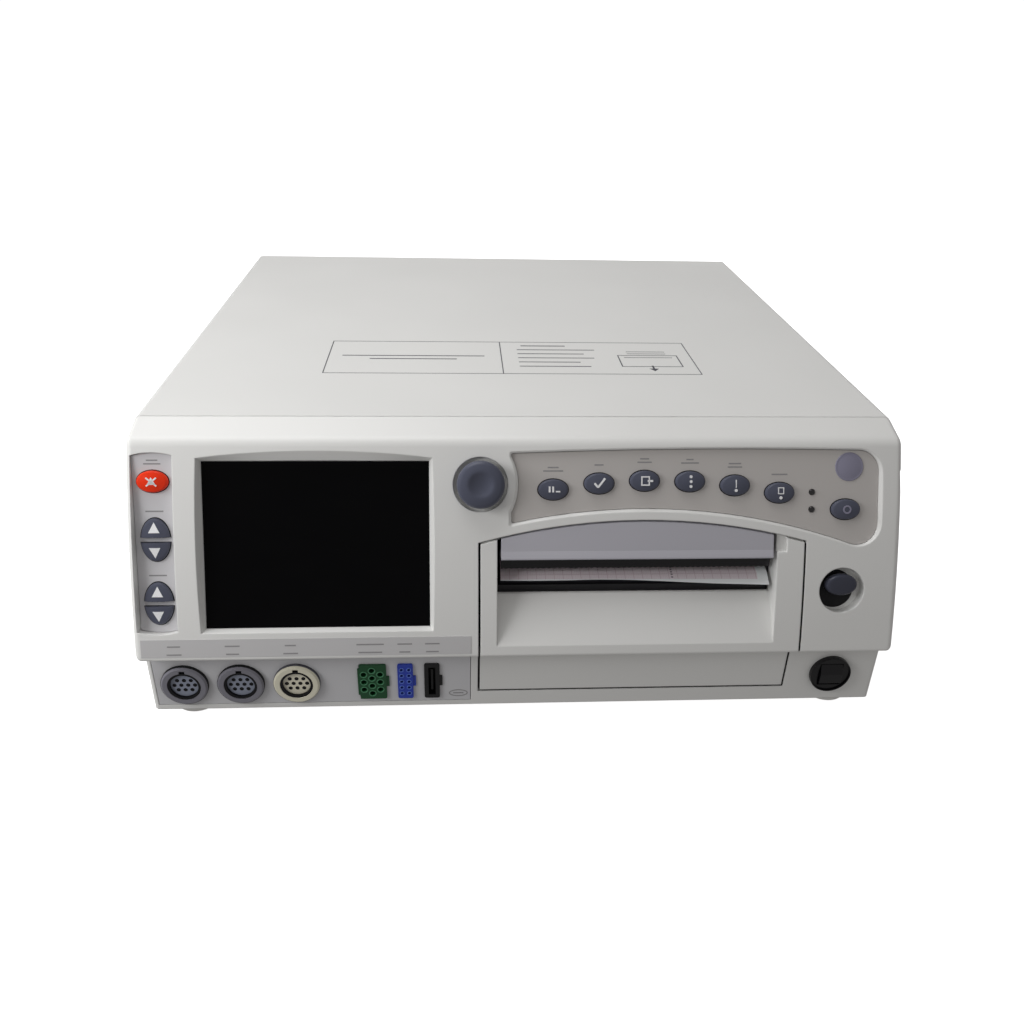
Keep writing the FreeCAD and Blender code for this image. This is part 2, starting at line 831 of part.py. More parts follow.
ports = []
for index in range(2):
    port_x = -half_width + port_side + index * port_pitch
    port_z = foot_height + port_level
    half_u = port_width / 2
    half_v = port_height / 2
    rear_panel = rear_panel.cut(box(port_x - half_u - panel_clearance, port_x + half_u + panel_clearance,
                                    panel_in - wall, panel_out + wall,
                                    port_z - half_v - panel_clearance, port_z + half_v + panel_clearance))
    port = box(port_x - half_u, port_x + half_u, panel_out - port_length, panel_out + port_rise,
               port_z - half_v, port_z + half_v)
    port = port.makeFillet(port_corner, [edge for edge in port.Edges if edge.BoundBox.YLength > wall])
    port = port.cut(box(port_x - half_u + port_wall, port_x + half_u - port_wall,
                        panel_out - port_length / 2,
                        panel_out + wall + port_rise, port_z - half_v + port_wall,
                        port_z + half_v - port_wall))
    plate = box(port_x - half_u - wall, port_x + half_u + wall, panel_out, panel_out + port_flange,
                port_z - half_v - wall, port_z + half_v + wall)
    hollow = box(port_x - half_u + port_wall, port_x + half_u - port_wall, panel_out - wall,
                 panel_out + wall, port_z - half_v + port_wall, port_z + half_v - port_wall)
    ports.append(port.fuse(plate.cut(hollow)).removeSplitter())
nodes["data_ports"] = Part.makeCompound(ports)
nodes["rear_panel"] = rear_panel.removeSplitter()

# Power supply, main board on its standoffs, speaker
supply_back = panel_out - inlet_depth - supply_gap
supply = box(inlet_x - supply_width / 2, inlet_x + supply_width / 2, supply_back - supply_length,
             supply_back,
             floor_z, floor_z + supply_height)
nodes["power_supply"] = supply.makeFillet(supply_corner, upright_edges(supply))
board_left = -half_width + board_side
board_y = front_y + board_front
board_z = floor_z + standoff_height
nodes["main_board"] = box(board_left, board_left + board_width, board_y, board_y + board_length, board_z,
                          board_z + board_thickness)
for post_x in (board_left + standoff_inset, board_left + board_width - standoff_inset):
    for post_y in (board_y + standoff_inset, board_y + board_length - standoff_inset):
        standoff = rod(Vector(post_x, post_y, floor_z), Vector(0, 0, 1), standoff_diameter / 2,
                       standoff_height)
        base_tray = base_tray.fuse(standoff)
nodes["base_tray"] = base_tray.removeSplitter()
speaker_base = Vector(speaker_x, speaker_y, floor_z)
speaker = rod(speaker_base, Vector(0, 0, 1), speaker_diameter / 2, speaker_rim)
speaker = speaker.fuse(Part.makeCone(speaker_diameter / 2 - wall, speaker_magnet / 2,
                                     speaker_depth - speaker_rim,
                                     speaker_base + Vector(0, 0, speaker_rim)))
speaker = speaker.fuse(rod(speaker_base + Vector(0, 0, speaker_depth), Vector(0, 0, 1), speaker_magnet / 2,
                           speaker_rim))
nodes["speaker"] = speaker.removeSplitter()

# Display: gasket behind the window's rim, glass, LCD module
glass_front = -gasket_thickness
glass_back = glass_front - glass_thickness
gasket = display_block(glass_border, glass_front, 0).cut(display_block(0, glass_front - wall, wall))
nodes["display_gasket"] = placed(gasket, display_frame)
nodes["display_glass"] = placed(display_block(glass_border, glass_back, glass_front), display_frame)
nodes["lcd_module"] = placed(display_block(lcd_border, glass_back - lcd_thickness, glass_back),
                             display_frame)


# Keys: each stands in a hole of its plate, with a flange behind the plate
board_front_level = -key_plate_thickness - key_flange_thickness - key_travel - key_board_gap
flange_back = -key_plate_thickness - key_flange_thickness


def oval(u, v, width, height):
    def solid(grow, low, high):
        return ellipse_prism(u, v, width + 2 * grow, height + 2 * grow, low, high)
    return solid


def half_oval(u, v, side):
    def solid(grow, low, high):
        whole = ellipse_prism(u, v, volume_key_width + 2 * grow, volume_pair_height + 2 * grow, low, high)
        near = volume_key_gap / 2 - grow
        reach = sorted([v + side * near, v + side * volume_pair_height])
        return whole.common(box(u - volume_key_width, u + volume_key_width, reach[0], reach[1], low, high))
    return solid


def key_solid(solid, frame):
    body = solid(0, flange_back, key_rise)
    body = body.makeFillet(key_round, level_edges(body, key_rise))
    flange = solid(key_flange, flange_back, -key_plate_thickness)
    return placed(body.fuse(flange).removeSplitter(), frame)


def post(u, v):
    return rod(Vector(u, v, board_front_level), Vector(0, 0, 1), key_post_diameter / 2,
               -key_plate_thickness - board_front_level)


column_keys = {"alarm_silence_key": oval(0, alarm_key_s - column_mid, alarm_key_width, alarm_key_height)}
for pair, pair_s in (("first", high_pair_s), ("second", low_pair_s)):
    column_keys[pair + "_volume_up_key"] = half_oval(0, pair_s - column_mid, 1)
    column_keys[pair + "_volume_down_key"] = half_oval(0, pair_s - column_mid, -1)
row_x = [keypad_left + keypad_first_key + index * key_pitch for index in range(row_key_count)]
row_names = ["menu_key", "confirm_key", "mark_key", "channel_key", "zero_key", "print_key"]
keypad_keys = {}
for name, x in zip(row_names, row_x):
    keypad_keys[name] = oval(x, key_row_s(x) - keypad_mid, key_width, key_height)
last_key_x = row_x[-1] + keypad_last_key
keypad_keys["standby_key"] = oval(last_key_x, last_key_s - keypad_mid, key_width, key_height)

# Left key plate and its board
left_plate = column_block(-plate_clearance, -key_plate_thickness, 0)
left_plate = left_plate.cut([solid(key_clearance, -out, out) for solid in column_keys.values()])
left_posts = [post(0, (alarm_key_s + high_pair_s) / 2 + column_bow - column_mid)]
left_posts.append(post(0, (high_pair_s + low_pair_s) / 2 - column_mid))
nodes["left_key_plate"] = placed(fuse_all([left_plate] + left_posts), column_frame)
board_back_level = board_front_level - key_board_thickness
nodes["left_key_board"] = placed(column_block(-board_inset, board_back_level, board_front_level),
                                 column_frame)

# Right key plate, its board and the two indicator lights
light_x = row_x[-1] + light_spacing
light_places = [(light_x, light_high_s - keypad_mid), (light_x, last_key_s - keypad_mid)]
right_plate = keypad_block(-plate_clearance, -key_plate_thickness, 0)
right_plate = right_plate.cut([solid(key_clearance, -out, out) for solid in keypad_keys.values()])
lights = []
for u, v in light_places:
    right_plate = right_plate.cut(rod(Vector(u, v, -out), Vector(0, 0, 1),
                                      (light_diameter + plate_clearance) / 2, 2 * out))
    lamp = rod(Vector(u, v, board_front_level), Vector(0, 0, 1), light_diameter / 2,
               light_rise - board_front_level)
    lights.append(placed(lamp.makeFillet(light_rise, level_edges(lamp, light_rise)), keypad_frame))
right_posts = []
for x in row_x[:-1]:
    middle = x + key_pitch / 2
    right_posts.append(post(middle, key_row_s(middle) - keypad_mid))
nodes["right_key_plate"] = placed(fuse_all([right_plate] + right_posts), keypad_frame)
right_board = keypad_block(-plate_clearance, board_back_level, board_front_level)
right_board = right_board.common(box(row_x[0] - key_width, keypad_right - board_inset, -far, far,
                                     board_back_level, board_front_level))
nodes["right_key_board"] = placed(right_board, keypad_frame)
nodes["indicator_lights"] = Part.makeCompound(lights)

for name, solid in column_keys.items():
    nodes[name] = key_solid(solid, column_frame)
for name, solid in keypad_keys.items():
    nodes[name] = key_solid(solid, keypad_frame)

# Trim knob: turns and is pushed; the plunger below it is only pushed
knob_top = knob_recess_depth + knob_rise
plunger_top = -knob_floor - panel_clearance
plunger_low = plunger_top - plunger_length
well_floor = plunger_low - knob_travel - panel_clearance
knob = disc(knob_diameter, knob_gap, knob_top)
knob = knob.makeFillet(knob_round, level_edges(knob, knob_top))
dimple_radius = ((knob_dimple_diameter / 2) ** 2 + knob_dimple_depth ** 2) / (2 * knob_dimple_depth)
knob = knob.cut(Part.makeSphere(dimple_radius, Vector(0, 0, knob_top - knob_dimple_depth + dimple_radius)))
knob = knob.fuse(disc(knob_shaft_diameter, plunger_low, knob_gap)).removeSplitter()
nodes["trim_knob"] = placed(knob, knob_frame)
plunger = disc(plunger_diameter, plunger_low, plunger_top)
nodes["knob_plunger"] = placed(plunger.cut(disc(knob_shaft_diameter + 2 * shaft_clearance, -out, out)),
                               knob_frame)
half = encoder_width / 2
encoder = box(-half, half, -half, half, well_floor - encoder_back, -knob_floor)
encoder = encoder.cut(disc(plunger_diameter + 2 * shaft_clearance, well_floor, out))
nodes["knob_encoder"] = placed(encoder, knob_frame)

# Recorder: places shared by the chassis, the drawer and what it carries
half_paper = paper_width / 2
half_tray = half_paper + tray_clearance + tray_wall
tray_left = paper_x - half_tray
tray_right = paper_x + half_tray
tray_front = base_front + drawer_skin
tray_back = tray_front + tray_length
tray_low = drawer_low + drawer_gap + panel_clearance
tray_floor = tray_low + tray_wall
tray_top = tray_low + tray_height
cover_z = face_point(cover_low)[1]
platen_y = front_y + platen_setback
platen_z = cover_z - platen_drop
platen_radius = platen_diameter / 2
chassis_y = front_y + chassis_front
chassis_back = tray_back + chassis_rear_gap
chassis_left = tray_left - chassis_side_gap
chassis_right = tray_right + chassis_side_gap
head_low = platen_z + platen_radius + paper_clearance + paper_thickness + head_gap
beam_low = head_low + head_height
runner_z = tray_low + runner_level
gear_x = tray_right + gear_side_gap
centre_distance = gear_module * (gear_teeth + pinion_teeth) / 2
lean = math.radians(gear_lean)
motor_y = platen_y - centre_distance * math.sin(lean)
motor_z = platen_z - centre_distance * math.cos(lean)
cover_left = paper_x - half_paper
cover_right = paper_x + half_paper
scoop_half = half_paper + ramp_margin

# Latch: places of the stem's tip and of the lever that it pushes
tip_length = latch_floor + latch_collar_thickness + latch_stem_tail
tip = stem_frame.multVec(Vector(0, 0, -tip_length))
lever_y = tip.y + latch_tip / 2 + lever_rest_gap + lever_depth / 2
lever_z = tip.z
pivot_x = chassis_right + chassis_plate + lever_reach
pad_x = pivot_x - lever_reach


# Print head cover: flush in the arched opening, with a flange back to the beam
def face_layer(near_depth, far_depth, low_z):
    outer = face_block(near_depth, low_z, seam_y, half_width)
    return outer.cut(face_block(far_depth, low_z - wall, seam_y + wall, half_width + wall))


tongue_y = chassis_y - beam_reach
cover_space = arch_prism(drawer_gap,
                         cover_z).common(box(cover_left, cover_right, front_y - wall, tongue_y, cover_z,
                                             case_top))
head_cover = face_layer(cover_sink, cover_sink + wall, cover_z)
flange = face_block(cover_sink, cover_z, seam_y, half_width).common(
    box(cover_left, cover_right, front_y, tongue_y, cover_z, cover_z + wall))
nodes["print_head_cover"] = head_cover.common(cover_space).fuse(flange).removeSplitter()

# Recorder chassis: side plates with the drawer's guides, rear plate, beam, lever bracket
chassis = [box(chassis_left - chassis_plate, chassis_left, chassis_y, chassis_back, floor_z, beam_low)]
chassis.append(box(chassis_right, chassis_right + chassis_plate, chassis_y, chassis_back, floor_z,
                   beam_low))
chassis.append(box(chassis_left - chassis_plate, chassis_right + chassis_plate,
                   chassis_back - chassis_plate,
                   chassis_back, floor_z, beam_low))
chassis.append(box(chassis_left - chassis_plate, chassis_right + chassis_plate, chassis_y,
                   chassis_y + beam_depth,
                   beam_low, beam_low + beam_height))
chassis.append(box(cover_left, cover_right, tongue_y, chassis_y, beam_low, beam_low + beam_height))
ledge_top = runner_z - runner_clearance
guide_low = runner_z + runner_height + runner_clearance
for inner, outer in ((chassis_left, tray_left - runner_clearance),
                     (tray_right + runner_clearance, chassis_right)):
    chassis.append(box(inner, outer, chassis_y, chassis_back, ledge_top - ledge_thickness, ledge_top))
    chassis.append(box(inner, outer, chassis_y, chassis_back, guide_low, guide_low + ledge_thickness))
lever_low = lever_z - lever_thickness / 2
bracket_top = lever_low - runner_clearance
chassis.append(box(chassis_right, pivot_x + lever_pin, lever_y - lever_depth, chassis_y + beam_depth,
                   bracket_top - ledge_thickness, bracket_top))
chassis.append(rod(Vector(pivot_x, lever_y, bracket_top), Vector(0, 0, 1), lever_pin / 2,
                   lever_thickness + 2 * ledge_thickness))
nodes["recorder_chassis"] = fuse_all(chassis)

# Thermal print head under the beam
head_front = tongue_y + ledge_thickness
head_back = chassis_y + beam_depth - ledge_thickness
head = [(head_front, beam_low), (head_front, head_low + head_nose)]
head += [(platen_y - head_nose, head_low), (platen_y + head_nose, head_low)]
head += [(head_back, head_low + head_nose), (head_back, beam_low)]
nodes["thermal_print_head"] = side_prism(head, cover_left, cover_right)

# Drawer front: skin of the face, scooped ramp, cheeks beside the paper
skin = front_mass.cut([face_block(drawer_skin, lip_z + drawer_skin, seam_y + wall, half_width - wall),
                       underside(drawer_skin)])
skin = skin.common(arch_prism(drawer_gap, lip_z))
lower_plate = box(drawer_left + drawer_gap, drawer_foot_right - drawer_gap, base_front,
                  base_front + drawer_skin, drawer_low + drawer_gap, lip_z)
scoop_left = paper_x - scoop_half
scoop_right = paper_x + scoop_half
ramp_foot = face_point(ramp_low)
ramp_lip = face_point(ramp_high, ramp_depth)
ramp_length = math.hypot(ramp_lip[0] - ramp_foot[0], ramp_lip[1] - ramp_foot[1])
back_y = ramp_thickness * (ramp_lip[1] - ramp_foot[1]) / ramp_length
back_z = -ramp_thickness * (ramp_lip[0] - ramp_foot[0]) / ramp_length
scoop = [ramp_foot, ramp_lip, (seam_y, ramp_lip[1]), (seam_y, case_top)]
scoop += [(front_y - far, case_top), (front_y - far, ramp_foot[1])]
ramp = [ramp_foot, ramp_lip, (ramp_lip[0] + back_y, ramp_lip[1] + back_z),
        (ramp_foot[0] + back_y, ramp_foot[1] + back_z)]
cheek = face_layer(0, cheek_depth, lip_z).common(arch_prism(drawer_gap, lip_z)).common(front_mass)
cheeks = [cheek.common(box(scoop_left - wall, scoop_left, front_y - wall, seam_y, lip_z, case_top))]
cheeks.append(cheek.common(box(scoop_right, scoop_right + wall, front_y - wall, seam_y, lip_z, case_top)))
step_low = cover_z + step_drop / 2
step_space = box(scoop_right - wall, scoop_right + step_width, front_y - far, seam_y, step_low, case_top)
step_cut = face_layer(-wall, step_depth, step_low).common(step_space)
pad = box(pad_x - lever_pad / 2, pad_x + lever_pad / 2, tip.y - cheek_depth - wall,
          lever_y - lever_depth / 2 - lever_gap,
          lever_z - lever_thickness / 2, lever_z + lever_thickness / 2)
pad = pad.common(face_block(drawer_skin / 2, lip_z, seam_y, half_width))
ramp_plate = side_prism(ramp, scoop_left, scoop_right)
lip_edges = [edge for edge in ramp_plate.Edges if edge.BoundBox.XLength > wall
             and abs(edge.CenterOfMass.z - ramp_lip[1]) + abs(edge.CenterOfMass.y - ramp_lip[0]) < 1e-3]
ramp_plate = ramp_plate.makeFillet(ramp_lip_radius, lip_edges)
front = skin.cut(side_prism(scoop, scoop_left, scoop_right))
front = fuse_all([front, lower_plate, ramp_plate, pad] + cheeks)
nodes["drawer_front"] = front.cut(step_cut).removeSplitter()

# Drawer tray with its runners and the ears that carry the platen
tray = [box(tray_left, tray_right, tray_front, tray_back, tray_low, tray_floor)]
tray.append(box(tray_left, tray_right, tray_back - tray_wall, tray_back, tray_low,
                tray_floor + pack_height))
wall_front = tray_front + 2 * drawer_skin
ear = platen_shaft / 2 + ear_wall
for inner, outer, runner in ((tray_left, tray_left + tray_wall, (tray_left - runner_width, tray_left)),
                             (tray_right - tray_wall, tray_right, (tray_right, tray_right + runner_width))):
    tray.append(box(inner, outer, wall_front, tray_back, tray_low, tray_top))
    tray.append(box(inner, outer, platen_y - ear, platen_y + ear, tray_top, platen_z + ear))
    tray.append(box(runner[0], runner[1], chassis_y + runner_width, tray_back, runner_z,
                    runner_z + runner_height))
tray = fuse_all(tray)
across = Vector(1, 0, 0)
tray = tray.cut(rod(Vector(tray_left - far, platen_y, platen_z), across,
                    platen_shaft / 2 + shaft_clearance, 4 * far + paper_width))
tray = tray.cut(rod(Vector(paper_x, motor_y, motor_z), across, motor_shaft / 2 + panel_clearance,
                    far + paper_width))
nodes["drawer_tray"] = tray

# Paper: the folded pack, and the strip from it over the platen and out of the slot
pack_front = platen_y + platen_radius + pack_gap
pack_top = tray_floor + pack_height
nodes["paper_pack"] = box(paper_x - half_paper, paper_x + half_paper, pack_front, pack_front + pack_length,
                          tray_floor, pack_top)
near_radius = platen_radius + paper_clearance
far_radius = near_radius + paper_thickness


def paper_bend(centre_y, centre_z, near, away, start, end):
    def point(radius, degrees):
        angle = math.radians(degrees)
        return Vector(paper_x - half_paper, centre_y + radius * math.cos(angle),
                      centre_z + radius * math.sin(angle))
    middle = (start + end) / 2
    edges = [arc(point(near, start), point(near, middle), point(near, end)),
             line(point(near, end), point(away, end))]
    edges += [arc(point(away, end), point(away, middle), point(away, start)),
              line(point(away, start), point(near, start))]
    return Part.Face(Part.Wire(edges)).extrude(Vector(paper_width, 0, 0))


leave = 90 + paper_drop
slope = math.radians(paper_drop)
strip = [paper_bend(platen_y, platen_z, near_radius, far_radius, 0, leave)]
tear = []
for radius, along in ((near_radius, 0), (near_radius, paper_reach), (far_radius, paper_reach),
                      (far_radius, 0)):
    tear.append((platen_y - radius * math.sin(slope) - along * math.cos(slope),
                 platen_z + radius * math.cos(slope) - along * math.sin(slope)))
strip.append(side_prism(tear, paper_x - half_paper, paper_x + half_paper))
bend_z = pack_top + pack_bend + paper_thickness
strip.append(box(paper_x - half_paper, paper_x + half_paper, platen_y + near_radius, platen_y + far_radius,
                 bend_z, platen_z))
bend_y = platen_y + far_radius + pack_bend
strip.append(paper_bend(bend_y, bend_z, pack_bend, pack_bend + paper_thickness, 180, 270))
strip.append(box(paper_x - half_paper, paper_x + half_paper, bend_y, pack_front + pack_length, pack_top,
                 pack_top + paper_thickness))
nodes["chart_paper"] = fuse_all(strip)


# Platen drive: roller gear and motor pinion
def gear_wire(teeth, turn, x, y, z):
    pitch_radius = gear_module * teeth / 2
    base_radius = pitch_radius * math.cos(math.radians(pressure_angle))
    root_radius = pitch_radius - gear_dedendum * gear_module
    tip_radius = pitch_radius + gear_addendum * gear_module
    half_tooth = math.pi / (2 * teeth) - gear_backlash / (2 * pitch_radius)

    def involute(radius):
        angle = math.acos(min(1, base_radius / radius))
        return math.tan(angle) - angle

    flank = []
    for radius in (root_radius, pitch_radius, tip_radius):
        flank.append((radius, half_tooth + involute(pitch_radius) - involute(max(radius, base_radius))))
    points = []
    for tooth in range(teeth):
        middle = turn + 2 * math.pi * tooth / teeth
        outline = [(radius, middle - lag) for radius, lag in flank]
        outline += [(radius, middle + lag) for radius, lag in reversed(flank)]
        points += [Vector(x, y + radius * math.cos(angle), z + radius * math.sin(angle)) for radius,
                   angle in outline]
    return Part.makePolygon(points + points[:1])


def gear(teeth, turn, y, z, bore):
    blank = Part.Face(gear_wire(teeth, turn, gear_x, y, z)).extrude(Vector(gear_width, 0, 0))
    return blank.cut(rod(Vector(gear_x - wall, y, z), across, bore / 2, gear_width + 2 * wall))


roller = rod(Vector(paper_x - half_paper, platen_y, platen_z), across, platen_radius, paper_width)
shaft_left = tray_left - wall
roller = roller.fuse(rod(Vector(shaft_left, platen_y, platen_z), across, platen_shaft / 2,
                         gear_x + gear_width + 1 - shaft_left))
nodes["platen_roller"] = roller.removeSplitter()
to_pinion = math.atan2(motor_z - platen_z, motor_y - platen_y)
nodes["roller_gear"] = gear(gear_teeth, to_pinion, platen_y, platen_z, platen_shaft)
pinion = gear(pinion_teeth, to_pinion + math.pi + math.pi / pinion_teeth, motor_y, motor_z, motor_shaft)
motor_face = tray_right - tray_wall
pinion = pinion.fuse(rod(Vector(motor_face - motor_shaft, motor_y, motor_z), across, motor_shaft / 2,
                         gear_x + gear_width - motor_face + motor_shaft))
nodes["motor_pinion"] = pinion.removeSplitter()
half = motor_size / 2
motor = box(motor_face - motor_length, motor_face, motor_y - half, motor_y + half, motor_z - half,
            motor_z + half)
motor = motor.makeChamfer(wall, [edge for edge in motor.Edges if edge.BoundBox.XLength > wall])
nodes["stepper_motor"] = motor.cut(rod(Vector(motor_face - 2 * motor_shaft, motor_y, motor_z), across,
                                       motor_shaft / 2 + shaft_clearance, far))

# Drawer release: button on its stem, and the lever that kicks the drawer
button_low = latch_travel + 2 * panel_clearance
button_top = latch_depth + latch_rise
button = ellipse_prism(0, 0, latch_button_width, latch_button_height, button_low, button_top)
button = button.makeFillet(key_round, level_edges(button, button_top))
collar_low = -latch_floor - latch_collar_thickness
button = fuse_all([button, disc(latch_stem, collar_low, button_low),
                   disc(latch_collar, collar_low, -latch_floor),
                   disc(latch_tip, -tip_length, collar_low)])
nodes["latch_button"] = placed(button, stem_frame)
lever = box(pad_x - lever_pad / 2, latch_x + lever_pad / 2, lever_y - lever_depth / 2,
            lever_y + lever_depth / 2,
            lever_low, lever_low + lever_thickness)
lever = lever.fuse(rod(Vector(pivot_x, lever_y, lever_low), Vector(0, 0, 1), lever_pin, lever_thickness))
lever = lever.cut(rod(Vector(pivot_x, lever_y, lever_low - wall), Vector(0, 0, 1),
                      lever_pin / 2 + shaft_clearance, far))
nodes["eject_lever"] = lever.removeSplitter()

# Connector panel with its round sockets and slot sockets
pin_rows = (3, 4, 3)


def staggered(pitch):
    places = []
    for row, count in enumerate(pin_rows):
        across_row = (row - (len(pin_rows) - 1) / 2) * pitch * math.sin(math.radians(60))
        for index in range(count):
            places.append(((index - (count - 1) / 2) * pitch, across_row))
    return places


def pin_holes(places, x, y, z, diameter):
    return [rod(Vector(x + u, y, z + v), rearward, diameter / 2, socket_pin_depth) for u, v in places]


panel = connector_opening(0, base_front, base_front + wall)
socket_z = foot_height + socket_level
socket_names = ["first_probe", "second_probe", "toco"]
for index, name in enumerate(socket_names):
    socket_x = -half_width + socket_first + index * socket_pitch
    centre = Vector(socket_x, base_front, socket_z)
    forward = Vector(0, -1, 0)
    panel = panel.cut(rod(centre - forward * far + forward * 2 * far, rearward,
                          socket_body_diameter / 2 + panel_clearance, 2 * far))
    shell = rod(centre, forward, socket_flange_diameter / 2, socket_flange)
    rim = [edge for edge in shell.Edges if edge.BoundBox.YMax < base_front - socket_flange / 2]
    shell = shell.makeChamfer(socket_chamfer, rim)
    shell = shell.fuse(rod(centre, rearward, socket_body_diameter / 2, socket_length))
    bore_front = centre + forward * socket_flange
    shell = shell.cut(rod(bore_front, rearward, socket_bore_diameter / 2, socket_bore_depth))
    notch_half = socket_key_width / 2
    shell = shell.cut(box(socket_x - notch_half, socket_x + notch_half, bore_front.y,
                          bore_front.y + socket_key_length,
                          socket_z, socket_z + socket_bore_diameter / 2 + socket_key_depth))
    nodes[name + "_socket_shell"] = shell.removeSplitter()
    insert_front = bore_front + rearward * socket_insert_recess
    insert = rod(insert_front, rearward, socket_insert_diameter / 2, socket_bore_depth - socket_insert_recess)
    holes = pin_holes(staggered(socket_pin_pitch), socket_x, insert_front.y, socket_z, socket_pin_diameter)
    nodes[name + "_socket_insert"] = insert.cut(holes)

green_pins = [(v, u) for u, v in staggered(green_pin_pitch)]
blue_pins = []
for row in range(blue_pin_rows):
    for side in (-1, 1):
        blue_pins.append((side * blue_pin_pitch / 2, (row - (blue_pin_rows - 1) / 2) * blue_pin_pitch))
slot_low = socket_z - slot_socket_height / 2
slot_high = socket_z + slot_socket_height / 2
slot_front = base_front - slot_socket_rise
slot_hole = slot_lip + panel_clearance


def slot_block(left, right):
    flange = box(left, right, slot_front, base_front, slot_low, slot_high)
    corners = [edge for edge in flange.Edges if edge.BoundBox.YLength > slot_socket_rise / 2]
    flange = flange.makeFillet(slot_socket_corner, corners)
    tab = box(right - slot_tab_width, right + slot_tab_width, slot_front + slot_tab_sink / 2, base_front,
              socket_z - slot_tab_height / 2, socket_z + slot_tab_height / 2)
    body = box(left + slot_hole, right - slot_hole, base_front, base_front + slot_socket_length,
               slot_low + slot_hole, slot_high - slot_hole)
    return fuse_all([flange, tab, body])


def slot_panel_hole(left, right):
    return box(left + slot_lip, right - slot_lip, base_front - wall, base_front + 2 * wall,
               slot_low + slot_lip, slot_high - slot_lip)


black_right = panel_right_x - slot_socket_margin
black_left = black_right - narrow_socket_width
blue_right = black_left - slot_socket_gap
blue_left = blue_right - narrow_socket_width
green_right = blue_left - slot_socket_gap
green_left = green_right - green_socket_width
panel = panel.cut([slot_panel_hole(black_left, black_right), slot_panel_hole(blue_left, blue_right),
                   slot_panel_hole(green_left, green_right)])

# Black socket: a plain slot with a contact tongue in it
mouth = slot_lip + slot_socket_wall
black = slot_block(black_left, black_right)
black = black.cut(box(black_left + mouth, black_right - mouth, slot_front, slot_front + slot_socket_depth,
                      slot_low + mouth, slot_high - mouth))
tongue_half = (narrow_socket_width - 2 * mouth) / 6
black_x = (black_left + black_right) / 2
tongue = box(black_x - tongue_half, black_x + tongue_half, slot_front + slot_socket_wall,
             base_front + slot_socket_depth, slot_low + 2 * mouth, slot_high - 2 * mouth)
nodes["black_socket"] = black.fuse(tongue).removeSplitter()

# Blue socket: two columns of small holes; green socket: large holes in staggered columns
blue_x = (blue_left + blue_right) / 2
nodes["blue_socket"] = slot_block(blue_left, blue_right).cut(
    pin_holes(blue_pins, blue_x, slot_front, socket_z, blue_pin_diameter))
green_x = (green_left + green_right) / 2
green = slot_block(green_left, green_right)
for level in (slot_low, slot_high):
    green = green.cut(box(green_left - wall, green_left + slot_hole, slot_front - wall, base_front,
                          level - green_notch, level + green_notch))
nodes["green_socket"] = green.cut(pin_holes(green_pins, green_x, slot_front, socket_z, green_pin_diameter))
nodes["connector_panel"] = panel.removeSplitter()

# Power switch: round housing with a rocker that turns in a trough
switch_centre = Vector(power_x, base_front, power_z)
housing = rod(switch_centre, Vector(0, -1, 0), power_flange_diameter / 2, power_flange)
housing = housing.fuse(rod(switch_centre, rearward, power_body_diameter / 2, power_length))
rocker_y = base_front - power_flange + rocker_sink
half = rocker_width / 2
trough = rod(Vector(power_x - half - rocker_clearance, rocker_y, power_z), across,
             rocker_radius + rocker_clearance, rocker_width + 2 * rocker_clearance)
nodes["power_switch_housing"] = housing.cut(trough).removeSplitter()
rocker = rod(Vector(power_x - half, rocker_y, power_z), across, rocker_radius, rocker_width)
for tilt in (-rocker_bend, rocker_bend):
    slab = box(power_x - far, power_x + far, rocker_y - far, rocker_y - rocker_face, power_z - far,
               power_z + far)
    slab.rotate(Vector(power_x, rocker_y, power_z), across, tilt)
    rocker = rocker.cut(slab)
rocker.rotate(Vector(power_x, rocker_y, power_z), across, -rocker_tilt)
nodes["power_rocker"] = rocker

os.makedirs("parts", exist_ok=True)
for name, shape in nodes.items():
    state = "valid" if shape.isValid() else "NOT VALID"
    print(name, state, len(shape.Solids), round(shape.Volume))
    shape.exportStep("parts/" + name + ".step")


def show(name, point, direction):
    print(name, [round(value, 4) for value in point], [round(value, 5) for value in direction])


outward = Vector(0, 0, 1)
show("column keys", column_frame.Base, column_frame.Rotation.multVec(outward))
show("keypad keys", keypad_frame.Base, keypad_frame.Rotation.multVec(outward))
show("knob", knob_frame.Base, knob_frame.Rotation.multVec(outward))
show("latch", stem_frame.Base, stem_frame.Rotation.multVec(outward))
show("lever pivot", Vector(pivot_x, lever_y, lever_z), Vector(0, 0, 1))
show("platen", Vector(paper_x, platen_y, platen_z), across)
show("pinion", Vector(gear_x, motor_y, motor_z), across)
show("rocker", Vector(power_x, rocker_y, power_z), across)
print("casing", case_width, case_depth, case_top, "lever arm", latch_x - pivot_x)
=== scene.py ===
import bmesh
import bpy
import json
import math
from mathutils import Matrix, Vector

